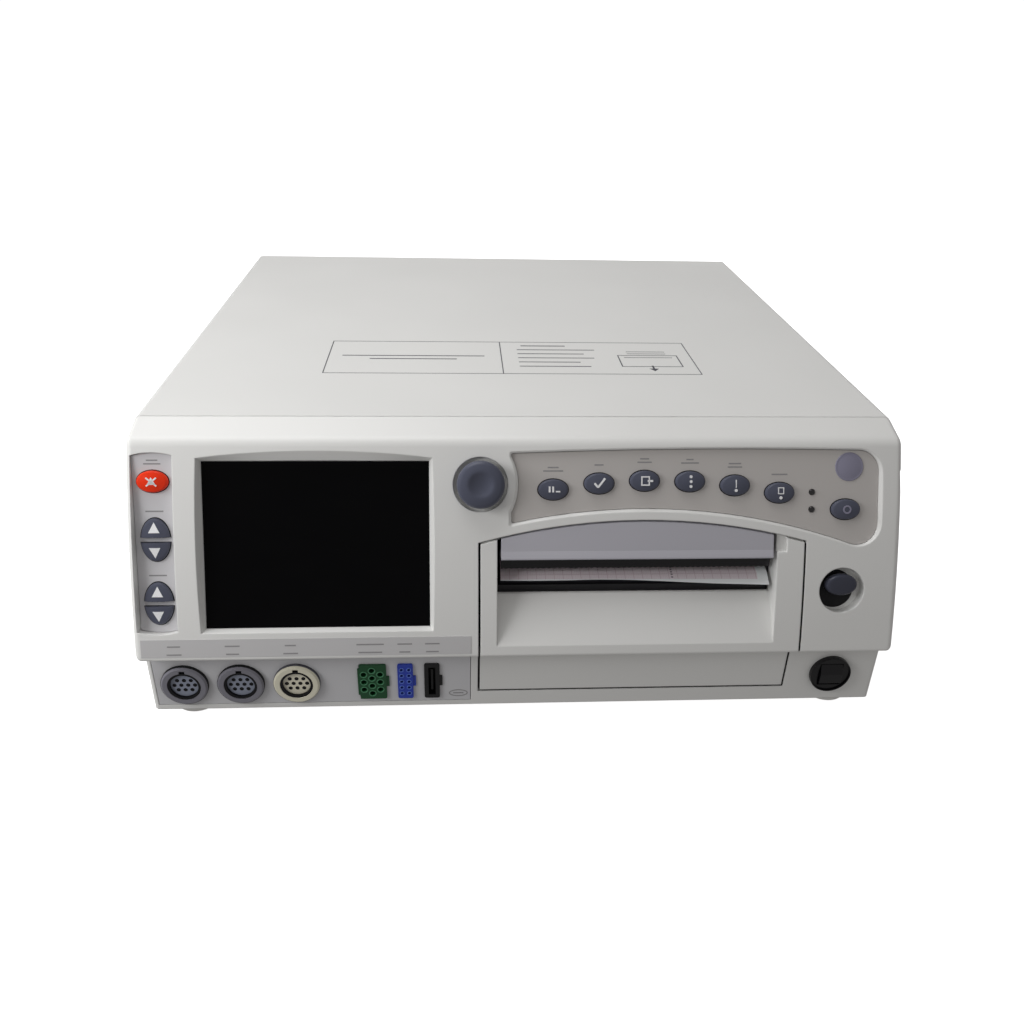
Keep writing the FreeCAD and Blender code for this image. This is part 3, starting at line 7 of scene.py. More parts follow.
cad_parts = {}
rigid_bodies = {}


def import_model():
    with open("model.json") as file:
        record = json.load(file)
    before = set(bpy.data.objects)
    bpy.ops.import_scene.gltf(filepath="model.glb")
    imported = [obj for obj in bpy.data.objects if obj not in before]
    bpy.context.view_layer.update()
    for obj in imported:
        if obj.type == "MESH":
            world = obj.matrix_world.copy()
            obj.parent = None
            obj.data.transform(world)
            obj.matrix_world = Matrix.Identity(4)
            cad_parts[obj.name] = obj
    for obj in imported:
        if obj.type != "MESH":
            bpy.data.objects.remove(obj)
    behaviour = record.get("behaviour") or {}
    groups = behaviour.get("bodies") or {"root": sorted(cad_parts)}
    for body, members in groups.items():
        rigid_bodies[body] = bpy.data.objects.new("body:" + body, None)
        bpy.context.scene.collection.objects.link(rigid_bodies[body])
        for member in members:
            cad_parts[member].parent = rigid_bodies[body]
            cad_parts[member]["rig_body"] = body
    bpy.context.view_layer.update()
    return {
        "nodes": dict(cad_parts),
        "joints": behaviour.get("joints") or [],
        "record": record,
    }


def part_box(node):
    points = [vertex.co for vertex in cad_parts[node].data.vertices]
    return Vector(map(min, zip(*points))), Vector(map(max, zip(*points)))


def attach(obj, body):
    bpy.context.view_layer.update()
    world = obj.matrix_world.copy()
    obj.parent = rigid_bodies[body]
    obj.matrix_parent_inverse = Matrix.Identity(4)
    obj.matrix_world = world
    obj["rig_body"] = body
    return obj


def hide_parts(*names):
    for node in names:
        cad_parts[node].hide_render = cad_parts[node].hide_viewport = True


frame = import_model()
nodes = frame["nodes"]
pressAxis = {joint["child"]: Vector(joint["axis"]) for joint in frame["joints"]}
mm = 0.001
tiny = 0.001 * mm    # points closer than this are one
print("frame loaded,", len(nodes), "nodes")


# Shader maths: a value in a node tree, with the operators that the finishes use
class Wire:
    def __init__(self, tree, socket):
        self.tree = tree
        self.socket = socket

    def node(self, kind, settings, sockets, output=0):
        made = self.tree.nodes.new(kind)
        for name, value in settings.items():
            if name == "stops":
                for stop, (position, colour) in zip(made.color_ramp.elements, value):
                    stop.position = position
                    stop.color = colour
            else:
                setattr(made, name, value)
        for name, value in sockets.items():
            if isinstance(value, Wire):
                self.tree.links.new(value.socket, made.inputs[name])
            else:
                made.inputs[name].default_value = value
        return Wire(self.tree, made.outputs[output])

    def maths(self, operation, first, second):
        return self.node("ShaderNodeMath", {"operation": operation}, {0: first, 1: second})

    def __add__(self, other):
        return self.maths("ADD", self, other)

    def __radd__(self, other):
        return self.maths("ADD", other, self)

    def __sub__(self, other):
        return self.maths("SUBTRACT", self, other)

    def __rsub__(self, other):
        return self.maths("SUBTRACT", other, self)

    def __mul__(self, other):
        return self.maths("MULTIPLY", self, other)

    def __rmul__(self, other):
        return self.maths("MULTIPLY", other, self)

    def __truediv__(self, other):
        return self.maths("DIVIDE", self, other)

    def __lt__(self, other):
        return self.maths("LESS_THAN", self, other)

    def __gt__(self, other):
        return self.maths("GREATER_THAN", self, other)


def paint(red, green, blue):
    def linear(value):
        share = value / 255
        return share / 12.92 if share <= 0.04045 else ((share + 0.055) / 1.055) ** 2.4
    return (linear(red), linear(green), linear(blue), 1.0)


def tinted(colour, factor):
    return tuple(min(1.0, part * factor) for part in colour[:3]) + (1.0,)


def newFinish(name, constants):
    material = bpy.data.materials.new(name)
    material.use_nodes = True
    tree = material.node_tree
    shader = tree.nodes["Principled BSDF"]
    for socket, value in constants.items():
        shader.inputs[socket].default_value = value
    place = Wire(tree, tree.nodes.new("ShaderNodeTexCoord").outputs["Object"])
    return material, shader, place


def feed(shader, wires):
    for socket, wire in wires.items():
        wire.tree.links.new(wire.socket, shader.inputs[socket])


def noise(place, scale, detail):
    return place.node("ShaderNodeTexNoise", {}, {"Vector": place, "Scale": scale, "Detail": detail})


def blend(factor, first, second):
    return factor.node("ShaderNodeMix", {"data_type": "RGBA"}, {0: factor, 6: first, 7: second}, 2)


def stretched(place, scale):
    return place.node("ShaderNodeMapping", {}, {"Vector": place, "Scale": scale})


def softEdges(place, radius):
    return place.node("ShaderNodeBevel", {"samples": 6}, {"Radius": radius})


def edgeShare(place, softNormal):
    flat = place.node("ShaderNodeNewGeometry", {}, {}, "Normal")
    sockets = {0: softNormal, 1: flat}
    return 1 - place.node("ShaderNodeVectorMath", {"operation": "DOT_PRODUCT"}, sockets, "Value")


def bumped(strength, depth, height, normal=None):
    sockets = {"Strength": strength, "Distance": depth, "Height": height}
    if normal:
        sockets["Normal"] = normal
    return height.node("ShaderNodeBump", {}, sockets)


# Moulded plastic: spark-eroded grain, faint clouds of tone, edges rounded and painted lighter: a little wear
# and a painted highlight where the edges catch the light
def mouldedPlastic(name, colour, roughness, grain=0.12, radius=0.5 * mm, wearAndHighlight=0.35, clouds=0.035,
                   shine=0.42):
    material, shader, place = newFinish(name, {"Specular IOR Level": shine})
    cloud = noise(place, 11, 4)
    fine = noise(place, 1700, 2)
    soft = softEdges(place, radius)
    edgeWearAndHighlight = edgeShare(place, soft) * wearAndHighlight
    tone = blend(cloud * 0.75 + fine * 0.25, tinted(colour, 1 - clouds), tinted(colour, 1 + clouds))
    # edges painted lighter: a little wear and a painted highlight on the rounded edges
    tone = blend(edgeWearAndHighlight, tone, tinted(colour, 1.35))
    rough = roughness + (cloud - 0.5) * 0.12 + (fine - 0.5) * 0.14
    feed(shader, {"Base Color": tone, "Roughness": rough, "Normal": bumped(grain, 0.08 * mm, fine, soft)})
    return material


def softRubber(name, colour, roughness):
    material, shader, place = newFinish(name, {"Specular IOR Level": 0.3})
    dust = noise(place, 60, 5)
    pits = noise(place, 900, 2)
    tone = blend(dust, tinted(colour, 0.85), tinted(colour, 1.2))
    rough = roughness + (dust - 0.5) * 0.2
    feed(shader, {"Base Color": tone, "Roughness": rough, "Normal": bumped(0.25, 0.1 * mm, pits)})
    return material


# Sheet or bar metal with a brushed lay along one axis
def brushedMetal(name, colour, roughness, lay):
    material, shader, place = newFinish(name, {"Metallic": 1.0})
    lines = noise(stretched(place, lay), 700, 3)
    stain = noise(place, 25, 4)
    tone = blend(lines * 0.6 + stain * 0.4, tinted(colour, 0.82), tinted(colour, 1.1))
    rough = roughness + (lines - 0.5) * 0.2 + (stain - 0.5) * 0.1
    bump = bumped(0.15, 0.05 * mm, lines, softEdges(place, 0.3 * mm))
    feed(shader, {"Base Color": tone, "Roughness": rough, "Normal": bump})
    return material


def paintedSheet(name, colour, roughness):
    material, shader, place = newFinish(name, {"Specular IOR Level": 0.45})
    peel = noise(place, 420, 3)
    cloud = noise(place, 9, 3)
    soft = softEdges(place, 0.3 * mm)
    tone = blend(cloud, tinted(colour, 0.96), tinted(colour, 1.04))
    rough = roughness + (peel - 0.5) * 0.2
    feed(shader, {"Base Color": tone, "Roughness": rough, "Normal": bumped(0.2, 0.06 * mm, peel, soft)})
    return material


def darkWindow(name):
    material, shader, place = newFinish(name, {"Specular IOR Level": 0.08, "IOR": 1.48})
    smear = noise(stretched(place, (1.0, 1.0, 3.0)), 30, 5)
    tone = blend(smear, (0.0012, 0.0012, 0.0015, 1), (0.0022, 0.0022, 0.0026, 1))
    feed(shader, {"Base Color": tone, "Roughness": 0.12 + smear * 0.1})
    return material


# Chart paper: fine and bold grid lines, a clear margin at the right, a dashed column and a pale torn edge
chartPrint = {"fine": 1.0 * mm, "bold": 5.0 * mm, "fineLine": 0.2, "boldLine": 0.1, "margin": 133.5 * mm,
              "tilt": math.radians(13), "column": 84.5 * mm, "columnHalf": 0.55 * mm, "dash": 1.9 * mm,
              "edge": 0.5 * mm, "tearLevel": 90.6 * mm}


def chartPaper(name, tearPlace):
    material, shader, place = newFinish(name, {"Specular IOR Level": 0.15})
    level = place.node("ShaderNodeMapping", {}, {"Vector": place, "Rotation": (-chartPrint["tilt"], 0, 0)})
    across = level.node("ShaderNodeSeparateXYZ", {}, {"Vector": level}, 0)
    along = level.node("ShaderNodeSeparateXYZ", {}, {"Vector": level}, 1)

    def share(axis, pitch):
        return axis.maths("FRACT", axis / pitch + 100.5, 0)

    def lines(pitch, width):
        crossing = share(across, pitch) < width
        return crossing.maths("MAXIMUM", crossing, share(along, pitch) < width)

    fibre = noise(place, 2600, 3)
    cloud = noise(place, 60, 3)
    sheet = blend(cloud, paint(219, 208, 213), paint(229, 220, 224))
    grid = blend(lines(chartPrint["fine"], chartPrint["fineLine"]) * 0.22, sheet, paint(190, 160, 168))
    grid = blend(lines(chartPrint["bold"], chartPrint["boldLine"]) * 0.26, grid, paint(158, 118, 130))
    offset = across - chartPrint["column"]
    column = offset.maths("ABSOLUTE", offset, 0) < chartPrint["columnHalf"]
    dashes = column * (share(along, chartPrint["dash"]) < 0.5)
    grid = blend(dashes * 0.8, grid, paint(70, 62, 72))
    clear = across > chartPrint["margin"]
    clear = clear.maths("MAXIMUM", clear, along < tearPlace + chartPrint["edge"])
    tone = blend(clear, grid, paint(232, 235, 236))
    rough = 0.78 + (fibre - 0.5) * 0.1
    feed(shader, {"Base Color": tone, "Roughness": rough, "Normal": bumped(0.1, 0.05 * mm, fibre)})
    return material


def circuitBoard(name):
    material, shader, place = newFinish(name, {"Specular IOR Level": 0.5})
    colours = {"Color1": paint(18, 70, 44), "Color2": paint(24, 84, 52), "Mortar": paint(120, 150, 90)}
    sockets = {"Vector": place, "Scale": 90.0, "Mortar Size": 0.03, **colours}
    tracks = place.node("ShaderNodeTexBrick", {"offset": 0.5}, sockets)
    cloud = noise(place, 40, 4)
    tone = blend(cloud * 0.5, tracks, paint(14, 52, 34))
    feed(shader, {"Base Color": tone, "Roughness": 0.35 + cloud * 0.2})
    return material


def printedInk(name, colour):
    material, shader, place = newFinish(name, {"Specular IOR Level": 0.3})
    grain = noise(place, 1400, 3)
    feed(shader, {"Base Color": blend(grain, tinted(colour, 0.88), tinted(colour, 1.1)),
                  "Roughness": 0.5 + (grain - 0.5) * 0.2})
    return material


def clearLens(name, colour):
    material, shader, place = newFinish(name, {"Coat Weight": 0.6, "Coat Roughness": 0.05})
    depth = noise(place, 500, 2)
    feed(shader, {"Base Color": blend(depth, tinted(colour, 0.6), tinted(colour, 1.6)),
                  "Roughness": 0.12 + depth * 0.12})
    return material


paperLow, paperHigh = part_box("chart_paper")
chartTilt = chartPrint["tilt"]
chartEdge = paperLow.y * math.cos(chartTilt) + chartPrint["tearLevel"] * math.sin(chartTilt)
finishes = {
    "casing_white": mouldedPlastic("casingShell", paint(229, 229, 227), 0.34, radius=0.9 * mm, wearAndHighlight=0.3),
    "cover_grey": mouldedPlastic("coverGrey", paint(184, 183, 191), 0.36, radius=0.9 * mm, wearAndHighlight=0.9),
    "panel_grey": mouldedPlastic("panelGrey", paint(206, 206, 209), 0.44),
    "key_slate": mouldedPlastic("keySlate", paint(82, 85, 100), 0.34, radius=0.3 * mm, wearAndHighlight=0.5, clouds=0.06,
                                shine=0.28),
    "key_red": mouldedPlastic("keyRed", paint(234, 56, 24), 0.28, radius=0.3 * mm, wearAndHighlight=0.3, clouds=0.06,
                              shine=0.22),
    "tray_black": mouldedPlastic("trayBlack", paint(34, 34, 37), 0.42, wearAndHighlight=0.5, clouds=0.1),
    "gear_nylon": mouldedPlastic("gearNylon", paint(226, 220, 200), 0.4, radius=0.15 * mm),
    "socket_slate": mouldedPlastic("socketSlate", paint(126, 125, 134), 0.36, radius=0.3 * mm, wearAndHighlight=0.6),
    "socket_ivory": mouldedPlastic("socketIvory", paint(226, 222, 202), 0.4, radius=0.3 * mm),
    "socket_green": mouldedPlastic("socketGreen", paint(20, 76, 42), 0.4, radius=0.2 * mm, wearAndHighlight=0.8),
    "socket_blue": mouldedPlastic("socketBlue", paint(42, 66, 176), 0.4, radius=0.2 * mm, wearAndHighlight=0.8),
    "socket_black": mouldedPlastic("socketBlack", paint(15, 15, 18), 0.45, radius=0.2 * mm, wearAndHighlight=0.15),
    "rear_metal": paintedSheet("rearSheet", paint(206, 205, 200), 0.45),
    "steel": brushedMetal("brightSteel", (0.56, 0.56, 0.57, 1), 0.3, (0.05, 1, 1)),
    "supply_metal": brushedMetal("zincSheet", (0.5, 0.51, 0.53, 1), 0.42, (1, 0.3, 1)),
    "lcd_metal": brushedMetal("moduleFrame", (0.42, 0.43, 0.45, 1), 0.35, (0.1, 1, 1)),
    "brass": brushedMetal("turnedBrass", (0.72, 0.52, 0.24, 1), 0.28, (1, 1, 0.1)),
    "screen_glass": darkWindow("screenGlass"),
    "gasket_rubber": softRubber("gasketRubber", paint(26, 26, 28), 0.7),
    "foot_rubber": softRubber("footRubber", paint(226, 226, 223), 0.72),
    "platen_rubber": softRubber("platenRubber", paint(46, 46, 50), 0.62),
    "board_green": circuitBoard("boardGreen"),
    "chart_paper": chartPaper("chartPaper", chartEdge),
    "lamp_plastic": clearLens("lampLens", paint(26, 24, 26)),
}
columnFloor = mouldedPlastic("columnFloor", paint(208, 207, 210), 0.46, radius=0.3 * mm)
# the keypad floor: the same grey floor as the column's, painted darker and warmer as painted shade of the
# dimmer right side
keypadFloor = mouldedPlastic("keypadFloor", paint(194, 190, 187), 0.46, radius=0.3 * mm)
stripGrey = mouldedPlastic("stripGrey", paint(199, 198, 199), 0.44, radius=0.1 * mm)
insertGrey = mouldedPlastic("insertGrey", paint(140, 146, 162), 0.42, radius=0.2 * mm)
releaseSlate = mouldedPlastic("releaseSlate", paint(58, 60, 73), 0.3, radius=0.3 * mm, wearAndHighlight=0.7, clouds=0.06)
switchBlack = mouldedPlastic("switchBlack", paint(13, 12, 16), 0.24, radius=0.4 * mm, wearAndHighlight=0.6, clouds=0.1)
inkWhite = printedInk("inkWhite", paint(246, 247, 250))
inkGrey = printedInk("inkGrey", paint(150, 149, 150))
inkDark = printedInk("inkDark", paint(84, 84, 92))
badgeFinish = mouldedPlastic("badgeLavender", paint(140, 138, 158), 0.4, radius=0.2 * mm)
# near-black for painted shade: rings, discs and strips set in gaps, holes, wells and recesses where shade
# falls
paintedShadeBlack = softRubber("paintedShadeBlack", paint(20, 20, 23), 0.6)
ringGreen = mouldedPlastic("ringGreen", paint(86, 150, 110), 0.4, radius=0.1 * mm)
ringBlue = mouldedPlastic("ringBlue", paint(96, 124, 214), 0.4, radius=0.1 * mm)
print("finishes made for", len(finishes), "slots")


# Working on meshes with the edit tools
def clearSelection():
    if bpy.context.object and bpy.context.object.mode != "OBJECT":
        bpy.ops.object.mode_set(mode="OBJECT")
    bpy.ops.object.select_all(action="DESELECT")


def selectAll():
    bpy.ops.mesh.select_all(action="SELECT")


def startEdit():
    bpy.ops.object.mode_set(mode="EDIT")
    bpy.ops.mesh.select_mode(type="VERT")
    selectAll()


def endEdit():
    selectAll()
    bpy.ops.mesh.normals_make_consistent(inside=False)
    bpy.ops.object.mode_set(mode="OBJECT")


def choose(kind, test):
    piece = bpy.context.object
    bpy.ops.mesh.select_mode(type=kind)
    bpy.ops.mesh.select_all(action="DESELECT")
    mesh = bmesh.from_edit_mesh(piece.data)
    for part in {"VERT": mesh.verts, "EDGE": mesh.edges, "FACE": mesh.faces}[kind]:
        if test(part):
            part.select_set(True)
    mesh.select_flush_mode()
    bmesh.update_edit_mesh(piece.data)


def edgeAt(level):
    return lambda edge: all(abs(vertex.co.z - level) < tiny for vertex in edge.verts)


def levelEdge(edge):
    return abs(edge.verts[0].co.z - edge.verts[1].co.z) < tiny


def pick(piece):
    clearSelection()
    piece.select_set(True)
    bpy.context.view_layer.objects.active = piece


def settle(piece, place):
    pick(piece)
    piece.matrix_world = place
    bpy.ops.object.transform_apply(location=True, rotation=True, scale=True)
    return piece


def copied(piece, place):
    twin = piece.copy()
    twin.data = piece.data.copy()
    bpy.context.scene.collection.objects.link(twin)
    return settle(twin, place)


def joined(name, pieces):
    pick(pieces[0])
    for piece in pieces[1:]:
        piece.select_set(True)
    if len(pieces) > 1:
        bpy.ops.object.join()
    pieces[0].name = name
    return pieces[0]


def applied(piece, kind, **settings):
    pick(piece)
    modifier = piece.modifiers.new(kind.lower(), kind)
    for name, value in settings.items():
        setattr(modifier, name, value)
    bpy.ops.object.modifier_apply(modifier=modifier.name)
    return piece


def thickened(piece, thickness, offset=0):
    return applied(piece, "SOLIDIFY", thickness=thickness, offset=offset)


def cutAway(piece, cutter):
    applied(piece, "BOOLEAN", operation="DIFFERENCE", object=cutter)
    bpy.data.objects.remove(cutter)


def dressed(piece, body, finish, standsFor=(), angle=38):
    pick(piece)
    bpy.ops.object.shade_smooth_by_angle(angle=math.radians(angle))
    piece.data.materials.clear()
    piece.data.materials.append(finish)
    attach(piece, body)
    if standsFor:
        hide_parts(*standsFor)
    return piece


def newPlane(name, size):
    clearSelection()
    bpy.ops.mesh.primitive_plane_add(size=size)
    bpy.context.object.name = name
    return bpy.context.object


def newDisc(name, corners):
    clearSelection()
    bpy.ops.mesh.primitive_circle_add(vertices=corners, radius=0.5, fill_type="NGON")
    bpy.context.object.name = name
    return bpy.context.object


def extrude(x, y, z):
    bpy.ops.mesh.extrude_region_move(TRANSFORM_OT_translate={"value": (x, y, z)})


# A point drawn out along a line, left in edit mode
def drawnLine(name, points):
    piece = newPlane(name, mm)
    startEdit()
    bpy.ops.mesh.merge(type="CENTER")
    bpy.ops.transform.translate(value=points[0])
    for here, there in zip(points, points[1:]):
        extrude(*(end - start for start, end in zip(here, there)))
    selectAll()
    return piece


# A line of (radius, height), turned about Z
def turned(name, profile, steps):
    piece = drawnLine(name, [(radius, 0, height) for radius, height in profile])
    bpy.ops.mesh.spin(steps=steps, angle=2 * math.pi, center=(0, 0, 0), axis=(0, 0, 1))
    selectAll()
    bpy.ops.mesh.remove_doubles(threshold=tiny)
    endEdit()
    return piece


# A line of (y, z), drawn sideways into a sheet
def ribbon(name, path, left, width, columns):
    piece = drawnLine(name, [(left, y, z) for y, z in path])
    for column in range(columns):
        extrude(width / columns, 0, 0)
    endEdit()
    return piece


# Lines to turn: a pin and a tube
def pinLine(radius, top, low):
    return [(0, top), (radius, top), (radius, low), (0, low)]


def tubeLine(inner, outer, top, low):
    return [(inner, top), (outer, top), (outer, low), (inner, low), (inner, top)]


def millimetres(points):
    return [(first * mm, second * mm) for first, second in points]


# A plain plate with round corners and a softened upper edge, lying on Z = 0
def plainPlate(name, width, height, thickness, corner):
    piece = newPlane(name, 1)
    startEdit()
    bpy.ops.transform.resize(value=(width, height, 1))
    bpy.ops.mesh.bevel(offset=corner, segments=6, affect="VERTICES")
    selectAll()
    extrude(0, 0, thickness)
    choose("EDGE", edgeAt(thickness))
    bpy.ops.mesh.bevel(offset=thickness / 3, segments=2)
    endEdit()
    return piece


# Frames: X level to the right, Y up the surface, Z outwards
frontward = Vector((0, -1, 0))


def surfaceFrame(origin, outward):
    right = Vector((1, 0, 0))
    upward = outward.cross(right)
    turn = Matrix((right, upward, outward)).transposed().to_4x4()
    return Matrix.Translation(origin) @ turn


capDepth = 3 * mm    # how much of a key counts as its cap


def capFrame(outward, *names):
    right = Vector((1, 0, 0))
    upward = outward.cross(right)
    points = [vertex.co for name in names for vertex in nodes[name].data.vertices]
    top = max(point.dot(outward) for point in points)
    points = [point for point in points if point.dot(outward) > top - capDepth]

    def middle(direction):
        reach = [point.dot(direction) for point in points]
        return direction * (min(reach) + max(reach)) / 2

    return surfaceFrame(middle(right) + middle(upward) + outward * top, outward)


def outwardOf(node):
    return -pressAxis[nodes[node]["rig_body"]]


def keyFrame(node):
    return capFrame(outwardOf(node), node)


# On the foremost side of a node's box, in its middle
def frontFrame(node):
    low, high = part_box(node)
    return surfaceFrame(Vector(((low.x + high.x) / 2, low.y, (low.z + high.z) / 2)), frontward)


def shifted(place, x, y, z=0.0):
    return place @ Matrix.Translation((x, y, z))


# Printed marks: flat strokes of ink with a little thickness
inkStyle = {"thickness": 0.4 * mm, "sink": 0.33 * mm, "drop": 0.02 * mm, "line": 0.5 * mm,
            "corners": {"bar": 4, "sheet": 4, "dot": 20, "ring": 28, "wedge": 3}, "hollow": ("sheet", "ring")}


def stroke(kind, width, height, x, y, turn=0.0, line=None):
    corners = inkStyle["corners"][kind]
    piece = newPlane(kind, 1) if corners == 4 else newDisc(kind, corners)
    size = Matrix.Diagonal((width, height, 1, 1))
    settle(piece, Matrix.Translation((x, y, 0)) @ Matrix.Rotation(math.radians(turn), 4, "Z") @ size)
    startEdit()
    if kind in inkStyle["hollow"]:
        bpy.ops.mesh.inset(thickness=line or inkStyle["line"])
        bpy.ops.mesh.delete(type="FACE")
    selectAll()
    extrude(0, 0, inkStyle["thickness"])
    endEdit()
    return piece


# A stroke with its sizes and place given in millimetres
def drawn(kind, width, height, x, y, turn=0, line=0):
    return (kind, width * mm, height * mm, x * mm, y * mm, turn, line * mm)


def printed(name, strokes, place, body, finish):
    mark = joined(name, [stroke(*each) for each in strokes])
    settle(mark, shifted(place, 0, 0, -inkStyle["sink"]))
    return dressed(mark, body, finish)


# Oval key caps, turned as domes and drawn in to ovals
ovalSize = (16.6 * mm, 11.4 * mm)
ovalKeys = {key + "_key": (key + "Cap", *ovalSize)
            for key in ("menu", "confirm", "mark", "channel", "zero", "print", "standby")}
ovalKeys["alarm_silence_key"] = ("alarmCap", 16.8 * mm, 11.8 * mm)
ovalKeys["latch_button"] = ("releaseCap", 18.4 * mm, 12.4 * mm)
capStyle = {"edge": 1.7 * mm, "crown": 0.8 * mm, "depth": 4.2 * mm, "steps": 72, "rings": 6, "gap": 0.5 * mm,
            "rise": 3.2 * mm}
latchStyle = {"edge": 2.6 * mm, "crown": 0.25 * mm, "stem": 2.9 * mm, "stemTop": 3.6 * mm,
              "depth": 9.0 * mm, "stemSteps": 32}


def domeProfile(half, edge, crown):
    inner = half - edge
    count = capStyle["rings"]
    points = [(inner * ring / count, -crown * (ring / count) ** 2) for ring in range(count + 1)]
    for ring in range(1, count + 1):
        turn = math.pi / 2 * ring / count
        points.append((inner + edge * math.sin(turn), -crown - edge + edge * math.cos(turn)))
    return points + [(half, -capStyle["depth"]), (0, -capStyle["depth"])]


for node, (name, width, height) in ovalKeys.items():
    latch = node == "latch_button"
    style = latchStyle if latch else capStyle
    cap = turned(name, domeProfile(width / 2, style["edge"], style["crown"]), capStyle["steps"])
    startEdit()
    bpy.ops.transform.resize(value=(1, height / width, 1))
    endEdit()
    place = keyFrame(node)
    if latch:
        stem = pinLine(style["stem"], -style["stemTop"], -style["depth"])
        cap = joined(name, [cap, turned("releaseStem", stem, style["stemSteps"])])
    else:
        # a dark ring round the cap, painted as the shade in the gap round the key
        grow = 2 * capStyle["gap"]
        outline = ("ring", width + grow, height + grow, 0, 0, 0, capStyle["gap"])
        lowered = shifted(place, 0, 0, -capStyle["rise"])
        printed(name.replace("Cap", "Gap"), [outline], lowered, "case", paintedShadeBlack)
    settle(cap, place)
    slotName = "key_red" if node == "alarm_silence_key" else "key_slate"
    finish = releaseSlate if latch else finishes[slotName]
    dressed(cap, nodes[node]["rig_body"], finish, [node])

# Dark disc on the floor of the release recess, painted as the shade in the recess
releaseShadeStyle = {"radius": 11.0 * mm, "thickness": 0.5 * mm, "soft": 0.3 * mm, "hole": 3.6 * mm,
              "left": 1.8 * mm, "down": 3.4 * mm, "floor": 8.0 * mm, "steps": 64, "holeSteps": 32}


def releaseShadeDisc():
    style = releaseShadeStyle
    radius, thickness = style["radius"], style["thickness"]
    profile = [(0, 0), (radius, 0), (radius, thickness / 2), (radius - style["soft"], thickness),
               (0, thickness)]
    piece = turned("releaseShadeDisc", profile, style["steps"])
    hole = turned("stemHole", pinLine(style["hole"], -mm, mm), style["holeSteps"])
    cutAway(piece, settle(hole, Matrix.Translation((style["left"], style["down"], 0))))
    return settle(piece, shifted(keyFrame("latch_button"), -style["left"], -style["down"], -style["floor"]))


dressed(releaseShadeDisc(), "case", paintedShadeBlack)
print("oval keys made,", len(ovalKeys))

# Volume keys: halves of one domed oval, cut apart
volumeStyle = {"width": 15.5 * mm, "height": 23.6 * mm, "gap": 3.0 * mm, "ringGap": 2.2 * mm,
               "soft": 0.3 * mm, "mark": 6.0 * mm, "markSize": (6.9 * mm, 7.7 * mm),
               "lean": math.radians(6.5), "fall": 0.3 * mm, "steps": 100}


def keepHalf(side, space, fill):
    selectAll()
    bpy.ops.mesh.bisect(plane_co=(0, side * space / 2, 0), plane_no=(0, side, 0), clear_inner=True,
                        use_fill=fill)


def halfCap(name, side):
    style = volumeStyle
    profile = domeProfile(style["width"] / 2, capStyle["edge"], capStyle["crown"])
    piece = turned(name, profile, style["steps"])
    startEdit()
    bpy.ops.transform.resize(value=(1, style["height"] / style["width"], 1))
    keepHalf(side, style["gap"], True)
    level = side * style["gap"] / 2
    low = -capStyle["crown"] - capStyle["edge"] / 2

    def cutEdge(edge):
        return all(abs(vertex.co.y - level) < tiny and vertex.co.z > low for vertex in edge.verts)

    choose("EDGE", cutEdge)
    bpy.ops.mesh.bevel(offset=style["soft"], segments=2)
    endEdit()
    return piece


# Dark half ring round a volume key cap, painted as the shade in the gap round it
def halfGapShade(name, side):
    style = volumeStyle
    piece = newDisc(name, style["steps"])
    grow = 2 * capStyle["gap"]
    settle(piece, Matrix.Diagonal((style["width"] + grow, style["height"] + grow, 1, 1)))
    startEdit()
    keepHalf(side, style["ringGap"], False)
    selectAll()
    bpy.ops.mesh.inset(thickness=capStyle["gap"])
    bpy.ops.mesh.delete(type="FACE")

    def straightSide(face):
        middle = face.calc_center_median()
        return abs(middle.x) < mm and abs(middle.y) < style["gap"]

    choose("FACE", straightSide)
    bpy.ops.mesh.delete(type="FACE")
    selectAll()
    extrude(0, 0, inkStyle["thickness"])
    endEdit()
    return piece


for pair in ("first", "second"):
    members = [pair + "_volume_up_key", pair + "_volume_down_key"]
    place = capFrame(outwardOf(members[0]), *members)
    for node, side in zip(members, (1, -1)):
        body = nodes[node]["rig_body"]
        plain = node.replace("_volume_", "Volume").replace("_key", "")
        cap = settle(halfCap(plain + "Cap", side), place)
        dressed(cap, body, finishes["key_slate"], [node])
        width, height = volumeStyle["markSize"]
        lean = Matrix.Rotation(-side * volumeStyle["lean"], 4, "X")
        markPlace = shifted(place, 0, side * volumeStyle["mark"], -volumeStyle["fall"]) @ lean
        printed(plain + "Mark", [("wedge", width, side * height, 0, 0)], markPlace, body, inkWhite)
        lowered = shifted(place, 0, 0, -capStyle["rise"] - inkStyle["sink"])
        dressed(settle(halfGapShade(plain + "Gap", side), lowered), "case", paintedShadeBlack)
print("volume keys made")

# Marks on the oval keys, as (kind, width, height, x, y, turn, line) in millimetres
keyMarks = {
    "menu_key": [("bar", 1.0, 3.2, -2.2, 0.2), ("bar", 1.0, 3.2, -0.3, 0.2), ("bar", 2.4, 0.8, 2.4, -1.0)],
    "confirm_key": [("bar", 3.0, 1.1, -1.9, -0.9, -50), ("bar", 6.4, 1.1, 1.0, 0.4, 52)],
    "mark_key": [("sheet", 4.8, 5.2, 0, 0, 0, 0.7), ("bar", 3.0, 1.1, 2.7, 0)],
    "channel_key": [("dot", 1.6, 1.6, 0, 2.7), ("dot", 1.6, 1.6, 0, 0), ("dot", 1.6, 1.6, 0, -2.7)],
    "zero_key": [("bar", 0.55, 4.4, 0, 1.0), ("dot", 1.7, 1.7, 0, -2.7)],
    "print_key": [("sheet", 3.4, 3.8, 0, 1.2, 0, 0.5), ("dot", 1.7, 1.7, 0, -2.7)],
    "standby_key": [("ring", 4.8, 4.8, 0, 0, 0, 0.9)],
    "alarm_silence_key": [("wedge", 4.6, 4.6, 0, 0.2), ("bar", 3.8, 0.9, 0, -1.0),
                          ("bar", 7.0, 0.8, 0, 0, 40), ("bar", 7.0, 0.8, 0, 0, -40)],
}
